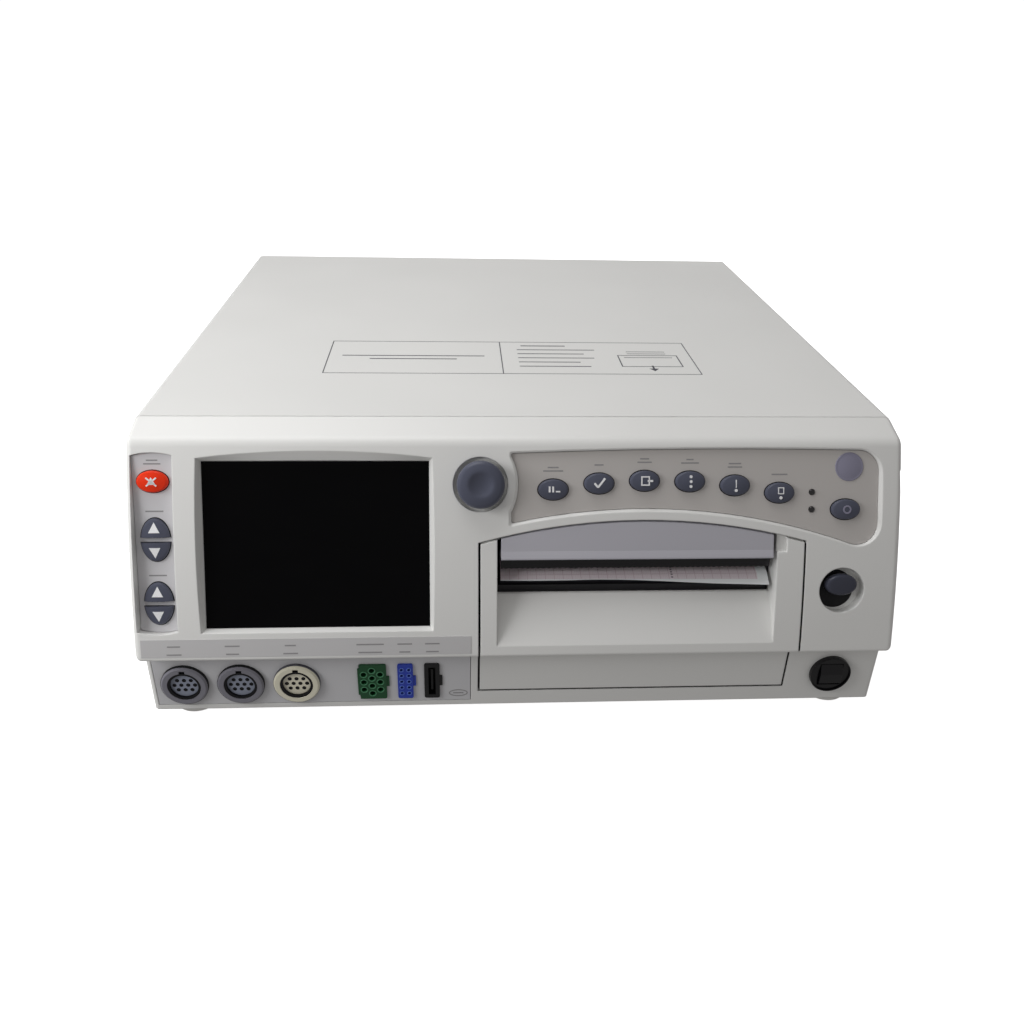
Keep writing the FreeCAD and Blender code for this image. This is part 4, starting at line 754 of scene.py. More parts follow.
for node, strokes in keyMarks.items():
    finish = badgeFinish if node == "standby_key" else inkWhite
    name = ovalKeys[node][0].replace("Cap", "Mark")
    place = shifted(keyFrame(node), 0, 0, -inkStyle["drop"])
    printed(name, [drawn(*each) for each in strokes], place, nodes[node]["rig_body"], finish)

# Caption bars on the recess floors: their heights above the keys, and their widths in millimetres
captionStyle = {"rise": 3.2 * mm, "bar": 0.75 * mm, "space": 1.9 * mm, "keypad": 10.2 * mm,
                "column": 9.4 * mm, "volume": 8.8 * mm}
captionBars = {
    "keypad": {"menu_key": (11, 6), "confirm_key": (5,), "mark_key": (8, 5), "channel_key": (10, 4),
               "zero_key": (8, 7), "print_key": (9,)},
    "column": {"alarm_silence_key": (9, 6)},
    "volume": {"first_volume_up_key": (9.5,), "second_volume_up_key": (9.5,)},
}
for group, captions in captionBars.items():
    for node, widths in captions.items():
        bars = []
        for row, width in enumerate(widths):
            level = captionStyle[group] + row * captionStyle["space"]
            bars.append(("bar", width * mm, captionStyle["bar"], 0, level))
        place = shifted(keyFrame(node), 0, 0, -captionStyle["rise"])
        printed(node.replace("_key", "") + ".caption", bars, place, "case", inkGrey)
print("marks printed,", len(keyMarks))

# Trim knob with its bevelled rim and thumb dimple
knobStyle = {"radius": 13.0 * mm, "height": 9.6 * mm, "bevel": 3.4 * mm, "bevelRings": 6, "soft": 0.5 * mm,
             "softDrop": 0.05 * mm, "edgeDrop": 0.25 * mm, "dimple": 6.8 * mm, "dimpleDepth": 1.8 * mm,
             "dimpleRings": 7, "lip": 0.6 * mm, "lipRise": 0.02 * mm, "steps": 96}


def knobProfile():
    style = knobStyle
    points = []
    for ring in range(style["dimpleRings"] + 1):
        share = ring / style["dimpleRings"]
        points.append((style["dimple"] * share, -style["dimpleDepth"] * (1 - share ** 2)))
    points.append((style["dimple"] + style["lip"], style["lipRise"]))
    shoulder = style["radius"] - style["bevel"]
    points.append((shoulder - style["soft"], -style["softDrop"]))
    points.append((shoulder, -style["edgeDrop"]))
    for ring in range(1, style["bevelRings"] + 1):
        turn = math.pi / 2 * ring / style["bevelRings"]
        drop = style["edgeDrop"] + style["bevel"] * (1 - math.cos(turn))
        points.append((shoulder + style["bevel"] * math.sin(turn), -drop))
    return points + [(style["radius"], -style["height"]), (0, -style["height"])]


knobPlace = capFrame(-pressAxis["knob_push"], "trim_knob")
trimKnob = settle(turned("trimKnob", knobProfile(), knobStyle["steps"]), knobPlace)
dressed(trimKnob, "knob", finishes["key_slate"], ["trim_knob"], angle=30)
print("knob turned")

# The curved face, for what is laid on it
faceStyle = {"radius": 581 * mm, "axisY": 341.387 * mm, "axisZ": -110.9 * mm, "lean": math.radians(16.283)}


def faceFrame(x, along):
    turn = faceStyle["lean"] + along / faceStyle["radius"]
    outward = Vector((0, -math.cos(turn), math.sin(turn)))
    axis = Vector((x, faceStyle["axisY"], faceStyle["axisZ"]))
    return surfaceFrame(axis + outward * faceStyle["radius"], outward)


# Caption strip over the sockets: a thin inlay that follows the curve, with plain bars on it
stripStyle = {"left": -208.2 * mm, "right": -29 * mm, "low": 2.8 * mm, "high": 13.0 * mm, "proud": 0.2 * mm,
              "sunk": 0.4 * mm, "steps": 6, "rows": (9.0 * mm, 4.4 * mm), "bar": 0.8 * mm}


def captionStrip():
    style = stripStyle
    piece = newPlane("captionStrip", 1)
    middle = faceFrame((style["left"] + style["right"]) / 2, style["low"])
    start = shifted(middle, 0, 0, (style["proud"] - style["sunk"]) / 2)
    section = Matrix.Rotation(math.pi / 2, 4, "X")
    size = Matrix.Diagonal((style["right"] - style["left"], style["proud"] + style["sunk"], 1, 1))
    settle(piece, start @ section @ size)
    startEdit()
    bpy.ops.mesh.spin(steps=style["steps"], angle=(style["high"] - style["low"]) / faceStyle["radius"],
                      center=(0, faceStyle["axisY"], faceStyle["axisZ"]), axis=(1, 0, 0))
    endEdit()
    return piece


dressed(captionStrip(), "case", stripGrey)
stripBars = {"first_probe_socket_shell": (7, 8), "second_probe_socket_shell": (8, 7),
             "toco_socket_shell": (6, 8), "green_socket": (15, 13), "blue_socket": (8, 6),
             "black_socket": (8, 7)}
for node, widths in stripBars.items():
    low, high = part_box(node)
    for row, (along, width) in enumerate(zip(stripStyle["rows"], widths)):
        place = shifted(faceFrame((low.x + high.x) / 2, along), 0, 0, stripStyle["proud"])
        bar = ("bar", width * mm, stripStyle["bar"], 0, 0)
        printed(f"{node}.caption{row}", [bar], place, "case", inkGrey)
print("caption strip laid")

# Bare badge on the keypad, placed from the key below it, with its rim as (share of the radius, height)
badgeStyle = {"radius": 8 * mm, "thickness": 0.9 * mm, "right": 1.85 * mm, "up": 23.8 * mm,
              "proud": 0.5 * mm, "steps": 64,
              "rim": ((0, 0.1), (0.8, 0.06), (0.86, -0.12), (0.92, 0), (0.97, -0.05), (1, -0.3))}
badgeProfile = [(badgeStyle["radius"] * share, height * mm) for share, height in badgeStyle["rim"]]
badgeProfile += [(badgeStyle["radius"], -badgeStyle["thickness"]), (0, -badgeStyle["thickness"])]
badgePlace = shifted(keyFrame("standby_key"), badgeStyle["right"], badgeStyle["up"],
                     badgeStyle["proud"] - captionStyle["rise"])
bareBadge = turned("bareBadge", badgeProfile, badgeStyle["steps"])
dressed(settle(bareBadge, badgePlace), "case", badgeFinish)

# Loading guide on the top cover, in millimetres: a ruled frame, plain bars and a simple figure of a drawer
guideStyle = {"width": 238, "height": 62, "y": -52, "line": 0.6, "divider": -7, "leftBars": (92, 56),
              "leftMiddle": -64, "rightBars": (52, 44, 50, 40, 46), "rightEdge": 4, "figure": 90}
figureX = guideStyle["figure"]
guideStrokes = [("sheet", guideStyle["width"], guideStyle["height"], 0, 0, 0, guideStyle["line"]),
                ("bar", guideStyle["line"], guideStyle["height"], guideStyle["divider"], 0)]
for row, width in enumerate(guideStyle["leftBars"]):
    guideStrokes.append(("bar", width, 1.2, guideStyle["leftMiddle"], 2 - 6 * row))
guideStrokes.append(("bar", 30, 1.4, 22, 23))
for row, width in enumerate(guideStyle["rightBars"]):
    guideStrokes.append(("bar", width, 1.1, guideStyle["rightEdge"] + width / 2, 15 - 8 * row))
guideStrokes += [("sheet", 40, 22, figureX, -6, 0, 0.7), ("bar", 32, 0.7, figureX, 0.5),
                 ("bar", 26, 0.7, figureX, 8), ("bar", 26, 0.7, figureX, 12),
                 ("wedge", 7, -6, figureX, -22), ("bar", 1.2, 6, figureX, -18)]
guidePlace = Matrix.Translation((0, guideStyle["y"] * mm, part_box("top_cover")[1].z))
printed("loadingGuide", [drawn(*each) for each in guideStrokes], guidePlace, "case", inkDark)
print("top guide printed")

# Dark rings on the inserts of the round sockets, painted as the shade in the contact holes, with sizes as
# (bore, sleeve)
roundSockets = {"firstProbe": "first_probe", "secondProbe": "second_probe", "toco": "toco"}
contactStyle = {"rows": (3, 4, 3), "pitch": 3.8 * mm, "sizes": (0.45 * mm, 1.15 * mm), "length": 0.5 * mm,
                "lift": 0.12 * mm, "steps": 14}


def staggered(pitch):
    places = []
    for row, count in enumerate(contactStyle["rows"]):
        drop = (row - 1) * pitch * math.sin(math.radians(60))
        places += [((index - (count - 1) / 2) * pitch, drop) for index in range(count)]
    return places


def contacts(name, node, places, finish, style, sizes, middle=None):
    low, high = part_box(node)
    front = Vector((low.x + (middle or (high.x - low.x) / 2), low.y, (low.z + high.z) / 2))
    pin = turned(name + "Pin", tubeLine(*sizes, 0, -style["length"]), contactStyle["steps"])
    made = [copied(pin, shifted(surfaceFrame(front, frontward), x, y, style["lift"])) for x, y in places]
    bpy.data.objects.remove(pin)
    return dressed(joined(name, made), "case", finish)


for plain, node in roundSockets.items():
    contacts(plain + "Contacts", node + "_socket_insert", staggered(contactStyle["pitch"]), paintedShadeBlack,
             contactStyle, contactStyle["sizes"])

# Dark rings painted as shade: in the wells round the inserts, and on the shaded sides of the flanges, as
# (inner, outer, top, low)
socketShadeStyle = {"well": (7.9 * mm, 9.2 * mm, -0.25 * mm, -1.6 * mm),
             "side": (12.9 * mm, 13.2 * mm, -1.05 * mm, -2.95 * mm), "steps": 64}


def socketShadeRing(name, node, line, finish):
    band = turned(name, tubeLine(*line), socketShadeStyle["steps"])
    dressed(settle(band, frontFrame(node + "_socket_shell")), "case", finish)


for plain, node in roundSockets.items():
    socketShadeRing(plain + "Well", node, socketShadeStyle["well"], paintedShadeBlack)
    socketShadeRing(plain + "Side", node, socketShadeStyle["side"], inkDark if plain == "toco" else paintedShadeBlack)

# Ring collars round the holes of the green and blue sockets, with sizes as (inner, outer)
collarStyle = {"length": 0.6 * mm, "lift": 0.25 * mm, "greenPitch": 5.4 * mm, "greenMiddle": 8.15 * mm,
               "greenSizes": (1.72 * mm, 2.15 * mm), "bluePitch": 4.2 * mm, "blueMiddle": 4.4 * mm,
               "blueSizes": (0.95 * mm, 1.45 * mm), "blueRows": 5}
greenPlaces = [(y, x) for x, y in staggered(collarStyle["greenPitch"])]
contacts("greenCollars", "green_socket", greenPlaces, ringGreen, collarStyle, collarStyle["greenSizes"],
         collarStyle["greenMiddle"])
bluePlaces = []
for row in range(collarStyle["blueRows"]):
    level = (row - (collarStyle["blueRows"] - 1) / 2) * collarStyle["bluePitch"]
    bluePlaces += [(side * collarStyle["bluePitch"], level) for side in (-0.5, 0.5)]
contacts("blueCollars", "blue_socket", bluePlaces, ringBlue, collarStyle, collarStyle["blueSizes"],
         collarStyle["blueMiddle"])

# A plain oval beside the sockets, its strokes in millimetres
ovalStyle = {"x": -36.2 * mm, "z": 19.6 * mm,
             "strokes": (("ring", 11, 5, 0, 0, 0, 0.6), ("bar", 6, 0.8, 0, 0))}
ovalMiddle = Vector((ovalStyle["x"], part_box("connector_panel")[0].y, ovalStyle["z"]))
ovalStrokes = [drawn(*each) for each in ovalStyle["strokes"]]
printed("plainOval", ovalStrokes, surfaceFrame(ovalMiddle, frontward), "case", inkGrey)
print("contacts set")

# Chart paper: from the pack, round the roller and out of the slot, with an uneven torn edge
paperStyle = {"thickness": 0.14 * mm, "columns": 38, "bend": 4.15 * mm, "bendSteps": 6, "clear": 0.45 * mm,
              "rollSteps": 16, "drop": math.radians(13), "reach": 16.5 * mm, "reachSteps": 4,
              "lean": 2.6 * mm, "leanStart": 0.35, "sag": 2.4 * mm, "sagPower": 1.5, "wave": 0.35 * mm,
              "waves": 1.6}
packLow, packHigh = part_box("paper_pack")
rollLow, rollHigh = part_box("platen_roller")
rollY = (rollLow.y + rollHigh.y) / 2
rollZ = (rollLow.z + rollHigh.z) / 2


def paperPath():
    style = paperStyle
    bend, drop = style["bend"], style["drop"]
    radius = (rollHigh.z - rollLow.z) / 2 + style["clear"]
    lowest = packHigh.z + style["thickness"]
    path = [(paperHigh.y, lowest), (rollY + radius + bend, lowest)]
    for step in range(1, style["bendSteps"] + 1):
        turn = math.pi / 2 * step / style["bendSteps"]
        path.append((rollY + radius + bend - bend * math.sin(turn), lowest + bend - bend * math.cos(turn)))
    for step in range(style["rollSteps"] + 1):
        turn = (math.pi / 2 + drop) * step / style["rollSteps"]
        path.append((rollY + radius * math.cos(turn), rollZ + radius * math.sin(turn)))
    y, z = path[-1]
    for step in range(1, style["reachSteps"] + 1):
        along = style["reach"] * step / style["reachSteps"]
        path.append((y - along * math.cos(drop), z - along * math.sin(drop)))
    return path


def chartStrip():
    style = paperStyle
    columns, drop, near = style["columns"], style["drop"], 0.1 * mm
    path = paperPath()
    width = paperHigh.x - paperLow.x
    piece = ribbon("chartStrip", path, paperLow.x, width, columns)
    startEdit()
    endY = path[-1][0]
    for column in range(columns + 1):
        x = paperLow.x + width * column / columns
        choose("VERT", lambda vertex: abs(vertex.co.x - x) < near and abs(vertex.co.y - endY) < near)
        share = column / columns
        fall = max(0, share - style["leanStart"]) / (1 - style["leanStart"])
        out = style["lean"] * fall + style["wave"] * math.sin(2 * math.pi * style["waves"] * share)
        down = out * math.sin(drop) + style["sag"] * fall ** style["sagPower"]
        bpy.ops.transform.translate(value=(0, -out * math.cos(drop), -down))
    endEdit()
    return thickened(piece, style["thickness"])


dressed(chartStrip(), "chart_drawer", finishes["chart_paper"], ["chart_paper"])

# Folded pack: one long strip laid to and fro
packStyle = {"folds": 28, "thickness": 0.9 * mm, "slack": 0.5 * mm, "sway": 2.4}


def foldedPack():
    path = []
    rise = (packHigh.z - packLow.z - packStyle["thickness"]) / packStyle["folds"]
    for fold in range(packStyle["folds"] + 1):
        inset = packStyle["slack"] * (1 + math.sin(packStyle["sway"] * fold))
        y = packLow.y + inset if fold % 2 else packHigh.y - inset
        path.append((y, packLow.z + packStyle["thickness"] / 2 + rise * fold))
    piece = ribbon("foldedPack", path, packLow.x, packHigh.x - packLow.x, 2)
    return thickened(piece, packStyle["thickness"])


dressed(foldedPack(), "chart_drawer", finishes["chart_paper"], ["paper_pack"], angle=60)

# Tear bar: a dark strip with fine teeth, hung under the print head cover; its near-black also stands as
# painted shade under the cover
tearStyle = {"low": 96.4 * mm, "back": 4.2 * mm, "thickness": 1.6 * mm, "pitch": 1.52 * mm,
             "tooth": 0.25 * mm}
coverLow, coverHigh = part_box("print_head_cover")


def tearBar():
    style = tearStyle
    width = coverHigh.x - coverLow.x
    height = coverLow.z - style["low"]
    teeth = int(width / style["pitch"])
    piece = newPlane("tearBar", 1)
    middle = ((coverLow.x + coverHigh.x) / 2, coverLow.y + style["back"], style["low"] + height / 2)
    size = Matrix.Diagonal((width, height, 1, 1))
    settle(piece, Matrix.Translation(middle) @ Matrix.Rotation(math.pi / 2, 4, "X") @ size)
    startEdit()
    choose("EDGE", levelEdge)
    bpy.ops.mesh.subdivide(number_cuts=2 * teeth - 1)
    places = sorted({round(vertex.co.x, 6) for vertex in bmesh.from_edit_mesh(piece.data).verts})
    notches = set(places[1::2])
    foot = style["low"] + 0.01 * mm
    choose("VERT", lambda vertex: vertex.co.z < foot and round(vertex.co.x, 6) in notches)
    bpy.ops.transform.translate(value=(0, 0, style["tooth"]))
    selectAll()
    extrude(0, style["thickness"], 0)
    endEdit()
    return piece


dressed(tearBar(), "case", switchBlack)

# Dark plate between the ramp and the roller, painted as the shade there, its line as (y, z) in millimetres
# from the roller's front
rollerGapShadeStyle = {"line": ((-4.5, -5.8), (-2.6, -4.4), (-2.1, -2.6), (-2.1, -0.4)), "side": 2.0 * mm,
                   "thickness": 0.8 * mm}
rollerShadePath = [(rollLow.y + y, rollZ + z) for y, z in millimetres(rollerGapShadeStyle["line"])]
rollerShadeWidth = paperHigh.x - paperLow.x + 2 * rollerGapShadeStyle["side"]
rollerGapShade = ribbon("rollerGapShade", rollerShadePath, paperLow.x - rollerGapShadeStyle["side"], rollerShadeWidth, 2)
dressed(thickened(rollerGapShade, rollerGapShadeStyle["thickness"]), "chart_drawer", finishes["tray_black"])

# Lip along the foot of the print head cover, its line as (height, proud) in millimetres
lipStyle = {"line": ((4.4, -0.05), (2.8, 0.35), (1.2, 0.85), (0.6, 0.95), (0.2, 0.8), (0.02, 0.4)),
            "sink": 0.4 * mm, "thickness": 0.5 * mm}


def faceDepth(level, sink):
    radius = faceStyle["radius"] - sink
    return faceStyle["axisY"] - math.sqrt(radius ** 2 - (level - faceStyle["axisZ"]) ** 2)


lipPath = []
for height, proud in millimetres(lipStyle["line"]):
    lipPath.append((faceDepth(coverLow.z + height, lipStyle["sink"]) - proud, coverLow.z + height))
coverLip = ribbon("coverLip", lipPath, coverLow.x, coverHigh.x - coverLow.x, 4)
dressed(thickened(coverLip, lipStyle["thickness"], -1), "case", finishes["cover_grey"])
print("chart paper laid")

# Dark strips behind the drawer front's right and lower edges, painted as the shade in the gaps round the
# drawer
gapShadeStyle = {"depth": 0.5 * mm, "reach": 0.9 * mm, "inner": 1.0 * mm, "thickness": 0.5 * mm, "low": 1.5 * mm,
             "high": 64.0 * mm, "steps": 12, "footInset": 1.8 * mm, "footTop": 51 * mm}
frontLow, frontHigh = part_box("drawer_front")
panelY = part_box("base_tray")[0].y + gapShadeStyle["depth"]


def gapShadeStrip(name, path, left, right):
    strip = thickened(ribbon(name, path, left, right - left, 1), gapShadeStyle["thickness"])
    dressed(strip, "chart_drawer", paintedShadeBlack)


def gapShadePoint(step):
    along = gapShadeStyle["low"] + (gapShadeStyle["high"] - gapShadeStyle["low"]) * step / gapShadeStyle["steps"]
    point = shifted(faceFrame(0, along), 0, 0, -gapShadeStyle["depth"]).translation
    return (point.y, point.z)


gapShadePath = [gapShadePoint(step) for step in range(gapShadeStyle["steps"] + 1)]
footRight = frontHigh.x - gapShadeStyle["footInset"]
lowPoint = frontLow.z - gapShadeStyle["reach"]
gapShadeStrip("sideGapShade", gapShadePath, frontHigh.x - gapShadeStyle["inner"], frontHigh.x + gapShadeStyle["reach"])
gapShadeStrip("footGapShade", [(panelY, lowPoint), (panelY, gapShadeStyle["footTop"])], footRight - gapShadeStyle["inner"],
          footRight + gapShadeStyle["reach"])
gapShadeStrip("lowerGapShade", [(panelY, lowPoint), (panelY, frontLow.z + gapShadeStyle["inner"])], frontLow.x, footRight)
print("gap shades laid")

# Raised rim round the power switch, its line as (radius, height) in millimetres
rimStyle = {"line": ((11.25, 0), (11.25, 0.9), (11.45, 1.15), (11.75, 1.15), (12.0, 0.8), (12.0, 0),
                     (11.25, 0)), "steps": 72}
switchRim = turned("switchRim", millimetres(rimStyle["line"]), rimStyle["steps"])
dressed(settle(switchRim, frontFrame("power_switch_housing")), "case", switchBlack)

# Feet: turned, with a chamfered sole and a round hollow in it
footStyle = {"radius": 13.5 * mm, "height": 11 * mm, "chamfer": 1.5 * mm, "hollow": 5 * mm,
             "hollowDepth": 2.5 * mm, "draft": 0.8 * mm, "soft": 0.4 * mm, "softRise": 0.3 * mm,
             "edgeRise": 0.5 * mm, "steps": 64}


def footProfile():
    style = footStyle
    radius, hollow, depth = style["radius"], style["hollow"], style["hollowDepth"]
    chamfer, soft = style["chamfer"], style["soft"]
    sole = [(0, depth), (hollow - style["draft"], depth), (hollow, style["softRise"]), (hollow + soft, 0)]
    edge = [(radius - chamfer, 0), (radius - soft, style["edgeRise"]), (radius, chamfer)]
    return sole + edge + [(radius, style["height"]), (0, style["height"])]


footLow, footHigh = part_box("rubber_feet")
foot = turned("footPattern", footProfile(), footStyle["steps"])
feet = []
for x in (footLow.x + footStyle["radius"], footHigh.x - footStyle["radius"]):
    for y in (footLow.y + footStyle["radius"], footHigh.y - footStyle["radius"]):
        feet.append(copied(foot, Matrix.Translation((x, y, 0))))
bpy.data.objects.remove(foot)
dressed(joined("rubberFeet", feet), "case", finishes["foot_rubber"], ["rubber_feet"])

# Rear screws: pan heads with a cross recess, the dome's line in millimetres and a turn for each screw
screwStyle = {"radius": 3.5 * mm, "height": 2.4 * mm, "shank": 1.65 * mm, "length": 6 * mm, "slot": 0.9 * mm,
              "slotLength": 4.2 * mm, "slotDepth": 1.3 * mm, "turns": (25, 42, 56, 73),
              "steps": 48, "dome": ((1.4, 2.4), (2.6, 2.1), (3.2, 1.5), (3.5, 0.6))}


def panScrew():
    style = screwStyle
    profile = [(0, style["height"]), *millimetres(style["dome"]), (style["radius"], 0), (style["shank"], 0),
               (style["shank"], -style["length"]), (0, -style["length"])]
    piece = turned("screwPattern", profile, style["steps"])
    top = Matrix.Translation((0, 0, style["height"]))
    size = Matrix.Diagonal((style["slotLength"], style["slot"], 2 * style["slotDepth"], 1))
    for turn in (0, 90):
        clearSelection()
        bpy.ops.mesh.primitive_cube_add(size=1)
        slot = top @ Matrix.Rotation(math.radians(turn), 4, "Z") @ size
        cutAway(piece, settle(bpy.context.object, slot))
    return piece


# Frames on the rear: X level to the left as seen from the front
def rearFrame(x, y, z, turn=0.0):
    facing = Matrix(((-1, 0, 0), (0, 0, 1), (0, 1, 0))).to_4x4()
    return Matrix.Translation((x, y, z)) @ facing @ Matrix.Rotation(math.radians(turn), 4, "Z")


screwLow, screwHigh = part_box("rear_screws")
screwPattern = panScrew()
screwPlaces = [(x, z) for x in (screwLow.x + screwStyle["radius"], screwHigh.x - screwStyle["radius"])
               for z in (screwLow.z + screwStyle["radius"], screwHigh.z - screwStyle["radius"])]
screws = []
for (x, z), turn in zip(screwPlaces, screwStyle["turns"]):
    screws.append(copied(screwPattern, rearFrame(x, screwHigh.y - screwStyle["height"], z, turn)))
bpy.data.objects.remove(screwPattern)
dressed(joined("rearScrews", screws), "case", finishes["steel"], ["rear_screws"])
print("feet and screws made")

# Earth stud: threaded pin, washer and nut
studStyle = {"radius": 3 * mm, "tip": 0.6 * mm, "start": 0.4 * mm, "pitch": 1.0 * mm, "thread": 0.35 * mm,
             "washer": 7 * mm, "washerHeight": 0.8 * mm, "washerSoft": 0.3 * mm, "washerEdge": 0.6 * mm,
             "nut": 6 * mm, "nutHeight": 3 * mm, "nutSoft": 0.4 * mm, "steps": 40, "washerSteps": 48}
studLow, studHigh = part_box("earth_stud")
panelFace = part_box("rear_panel")[1].y


def studPin(length):
    radius, pitch = studStyle["radius"], studStyle["pitch"]
    profile = [(0, length), (radius - studStyle["tip"], length)]
    for thread in range(int(length / pitch)):
        level = length - studStyle["start"] - thread * pitch
        profile += [(radius, level), (radius - studStyle["thread"], level - pitch / 2)]
    return turned("studPin", profile + [(0, 0)], studStyle["steps"])


def studWasher():
    style = studStyle
    inner, outer, height = style["radius"], style["washer"], style["washerHeight"]
    profile = [(inner, 0), (outer, 0), (outer, style["washerEdge"]), (outer - style["washerSoft"], height),
               (inner, height), (inner, 0)]
    return turned("studWasher", profile, style["washerSteps"])


def studNut():
    style = studStyle
    clearSelection()
    bpy.ops.mesh.primitive_cylinder_add(vertices=6, radius=style["nut"], depth=style["nutHeight"])
    piece = bpy.context.object
    startEdit()
    choose("EDGE", levelEdge)
    bpy.ops.mesh.bevel(offset=style["nutSoft"], segments=3)
    endEdit()
    return settle(piece, Matrix.Translation((0, 0, style["washerHeight"] + style["nutHeight"] / 2)))


earthStud = joined("earthStud", [studPin(studHigh.y - panelFace), studWasher(), studNut()])
settle(earthStud, rearFrame((studLow.x + studHigh.x) / 2, panelFace, (studLow.z + studHigh.z) / 2))
dressed(earthStud, "case", finishes["brass"], ["earth_stud"], angle=30)

# Data ports: pins in dark blocks inside the steel shells
portStyle = {"columns": 5, "pitch": 4.6 * mm, "row": 2.6 * mm, "pin": 0.55 * mm, "pinLength": 5.5 * mm,
             "tip": 0.6, "tipDrop": 0.1 * mm, "tipLength": 0.6 * mm, "blockWidth": 27 * mm,
             "blockHeight": 8 * mm, "blockDepth": 3 * mm, "corner": 1.5 * mm, "shell": 10 * mm,
             "side": 44 * mm, "steps": 10}
portLow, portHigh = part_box("data_ports")
portZ = (portLow.z + portHigh.z) / 2
portMiddle = (portLow.x + portHigh.x) / 2
pinRadius, pinTop = portStyle["pin"], portStyle["pinLength"]
pinProfile = [(0, pinTop), (pinRadius * portStyle["tip"], pinTop - portStyle["tipDrop"]),
              (pinRadius, pinTop - portStyle["tipLength"]), (pinRadius, 0), (0, 0)]
pinPattern = turned("pinPattern", pinProfile, portStyle["steps"])
for index, name in enumerate(("firstPort", "secondPort")):
    x = portMiddle + (index - 0.5) * portStyle["side"]
    floor = rearFrame(x, portHigh.y - portStyle["shell"], portZ)
    block = plainPlate(name + "Block", portStyle["blockWidth"], portStyle["blockHeight"],
                       portStyle["blockDepth"], portStyle["corner"])
    dressed(settle(block, floor), "case", finishes["tray_black"])
    pins = []
    for row in (0, 1):
        up = (0.5 - row) * portStyle["row"]
        for column in range(portStyle["columns"] - row):
            across = (column - (portStyle["columns"] - 1 - row) / 2) * portStyle["pitch"]
            pins.append(copied(pinPattern, shifted(floor, across, up, portStyle["blockDepth"])))
    dressed(joined(name + "Pins", pins), "case", finishes["brass"])
bpy.data.objects.remove(pinPattern)
print("rear fittings made")

# Bare plates at the rear and below
plateStyle = {"rear": (70 * mm, 34 * mm), "below": (90 * mm, 50 * mm), "thickness": 0.5 * mm,
              "corner": 2.5 * mm, "rearAt": (-110 * mm, 125 * mm), "belowAt": (60 * mm, 60 * mm)}
plateFinish = brushedMetal("plateFoil", (0.72, 0.73, 0.74, 1), 0.38, (0.05, 1, 1))
rearX, rearZ = plateStyle["rearAt"]
belowPlace = Matrix.Translation((*plateStyle["belowAt"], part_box("base_tray")[0].z))
plates = {"rear": ("rearPlate", rearFrame(rearX, panelFace, rearZ)),
          "below": ("lowerPlate", belowPlace @ Matrix.Rotation(math.pi, 4, "X"))}
for side, (name, place) in plates.items():
    plate = plainPlate(name, *plateStyle[side], plateStyle["thickness"], plateStyle["corner"])
    dressed(settle(plate, place), "case", plateFinish)

# Finishes for the nodes that are shown as they are
nodeFinish = {"left_key_plate": columnFloor, "right_key_plate": keypadFloor,
              "power_switch_housing": switchBlack, "power_rocker": switchBlack,
              "first_probe_socket_insert": insertGrey, "second_probe_socket_insert": insertGrey}
shown = 0
for item in frame["record"]["subparts"]:
    solid = nodes[item["node"]]
    if not solid.hide_render:
        solid.data.materials.clear()
        solid.data.materials.append(nodeFinish.get(item["node"]) or finishes[item["material_slot"]])
        shown += 1
print("solids dressed,", shown)

# Studio: pale floor, soft light from above and the left, camera
studioStyle = {"floor": 5.0, "floorGlow": 0.8, "sky": 1.05, "ambient": 0.285,
               "ambientTint": (1.0, 0.98, 0.965, 1), "cameraAt": (-37.09 * mm, -622.71 * mm, 368.86 * mm),
               "lens": 32.11, "sensor": 36.0, "clip": 0.01, "yaw": 0.0700, "pitch": 0.5027, "roll": 0.0291}
# Soft lights, as (place, target, size, power, seen in gloss)
softLights = {
    "overhead": ((-0.3, 0.1, 1.2), (0, 0, 0.15), 0.9, 6.0, True),
    "leftFill": ((-0.6, -0.45, 0.4), (-0.1, -0.15, 0.1), 0.35, 1.8, False),
    "leftRim": ((-1.0, -0.2, 0.5), (0, -0.19, 0.1), 0.3, 2.5, False),
    "rearFill": ((0.5, 1.3, 0.35), (0, 0.2, 0.1), 0.5, 4.0, False),
}
white = (1, 1, 1, 1)


def paleFloor():
    piece = newPlane("paleFloor", studioStyle["floor"])
    matt = {"Specular IOR Level": 0.1, "Roughness": 0.9, "Emission Strength": studioStyle["floorGlow"],
            "Emission Color": white}
    material, shader, place = newFinish("floorPale", matt)
    feed(shader, {"Base Color": blend(noise(place, 3, 2), (0.86, 0.86, 0.86, 1), (0.9, 0.9, 0.9, 1))})
    piece.data.materials.append(material)
    piece.visible_diffuse = False
    piece.visible_glossy = False


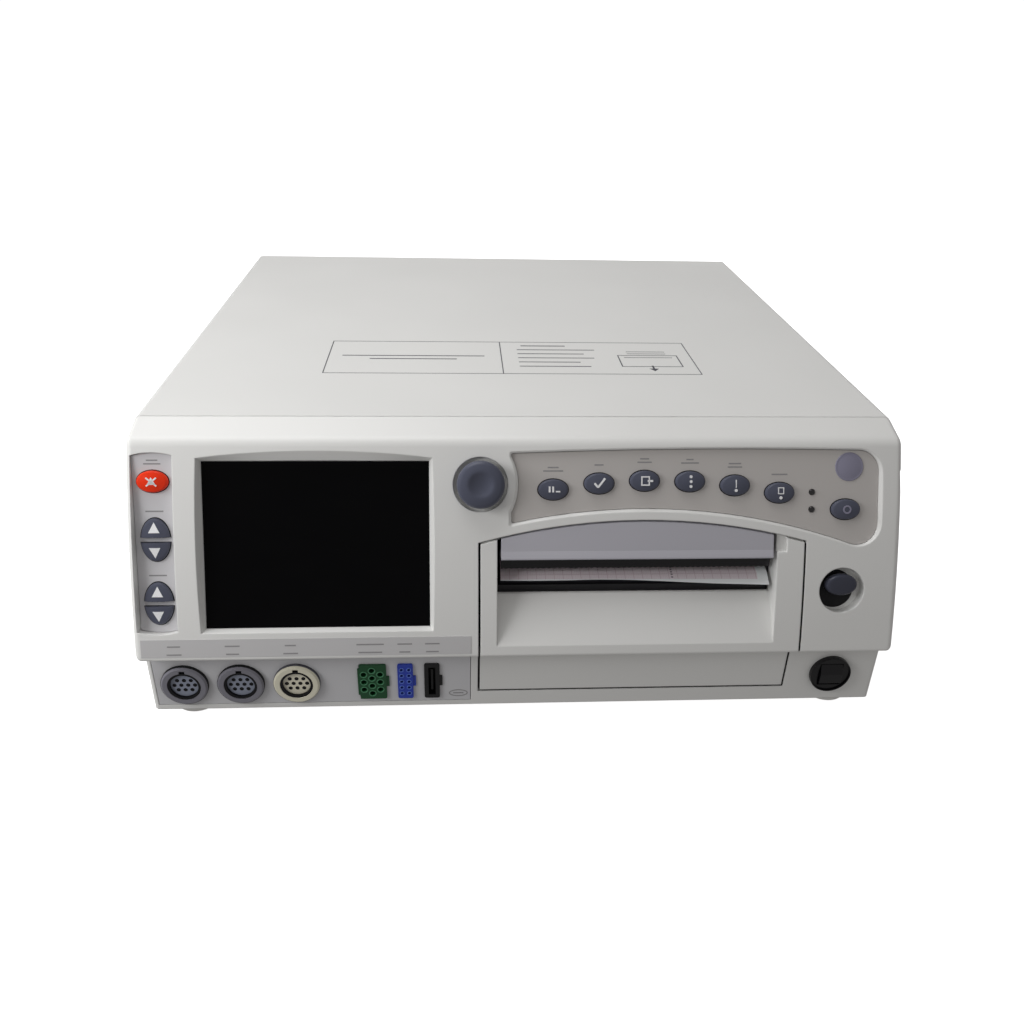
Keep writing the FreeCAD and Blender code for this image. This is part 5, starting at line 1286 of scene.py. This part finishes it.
def softbox(name, at, target, size, power, mirrored):
    light = bpy.data.lights.new(name, "AREA")
    light.shape = "DISK"
    light.size = size
    light.energy = power
    lamp = bpy.data.objects.new(name, light)
    bpy.context.scene.collection.objects.link(lamp)
    lamp.visible_glossy = mirrored
    lamp.location = at
    lamp.rotation_euler = (Vector(target) - Vector(at)).to_track_quat("-Z", "Y").to_euler()


def paleWorld():
    world = bpy.data.worlds.new("paleWorld")
    world.use_nodes = True
    bpy.context.scene.world = world
    tree = world.node_tree
    seen = tree.nodes["Background"]
    seen.inputs["Color"].default_value = white
    seen.inputs["Strength"].default_value = studioStyle["sky"]
    soft = tree.nodes.new("ShaderNodeBackground")
    soft.inputs["Color"].default_value = studioStyle["ambientTint"]
    soft.inputs["Strength"].default_value = studioStyle["ambient"]
    path = tree.nodes.new("ShaderNodeLightPath")
    mixed = tree.nodes.new("ShaderNodeMixShader")
    tree.links.new(path.outputs["Is Camera Ray"], mixed.inputs[0])
    tree.links.new(soft.outputs[0], mixed.inputs[1])
    tree.links.new(seen.outputs[0], mixed.inputs[2])
    tree.links.new(mixed.outputs[0], tree.nodes["World Output"].inputs["Surface"])


def setCamera():
    style = studioStyle
    yaw, pitch, roll = style["yaw"], style["pitch"], style["roll"]
    forward = Vector((math.sin(yaw) * math.cos(pitch), math.cos(yaw) * math.cos(pitch), -math.sin(pitch)))
    right = Vector((math.cos(yaw), -math.sin(yaw), 0))
    upward = right.cross(forward)
    level = right * math.cos(roll) + upward * math.sin(roll)
    tall = upward * math.cos(roll) - right * math.sin(roll)
    lens = bpy.data.cameras.new("photoCamera")
    lens.lens = style["lens"]
    lens.sensor_width = style["sensor"]
    lens.clip_start = style["clip"]
    camera = bpy.data.objects.new("photoCamera", lens)
    bpy.context.scene.collection.objects.link(camera)
    turn = Matrix((level, tall, -forward)).transposed().to_4x4()
    camera.matrix_world = Matrix.Translation(style["cameraAt"]) @ turn
    bpy.context.scene.camera = camera


paleFloor()
paleWorld()
for name, settings in softLights.items():
    softbox(name, *settings)
setCamera()
bpy.context.scene.view_settings.view_transform = "Standard"
print("studio set")
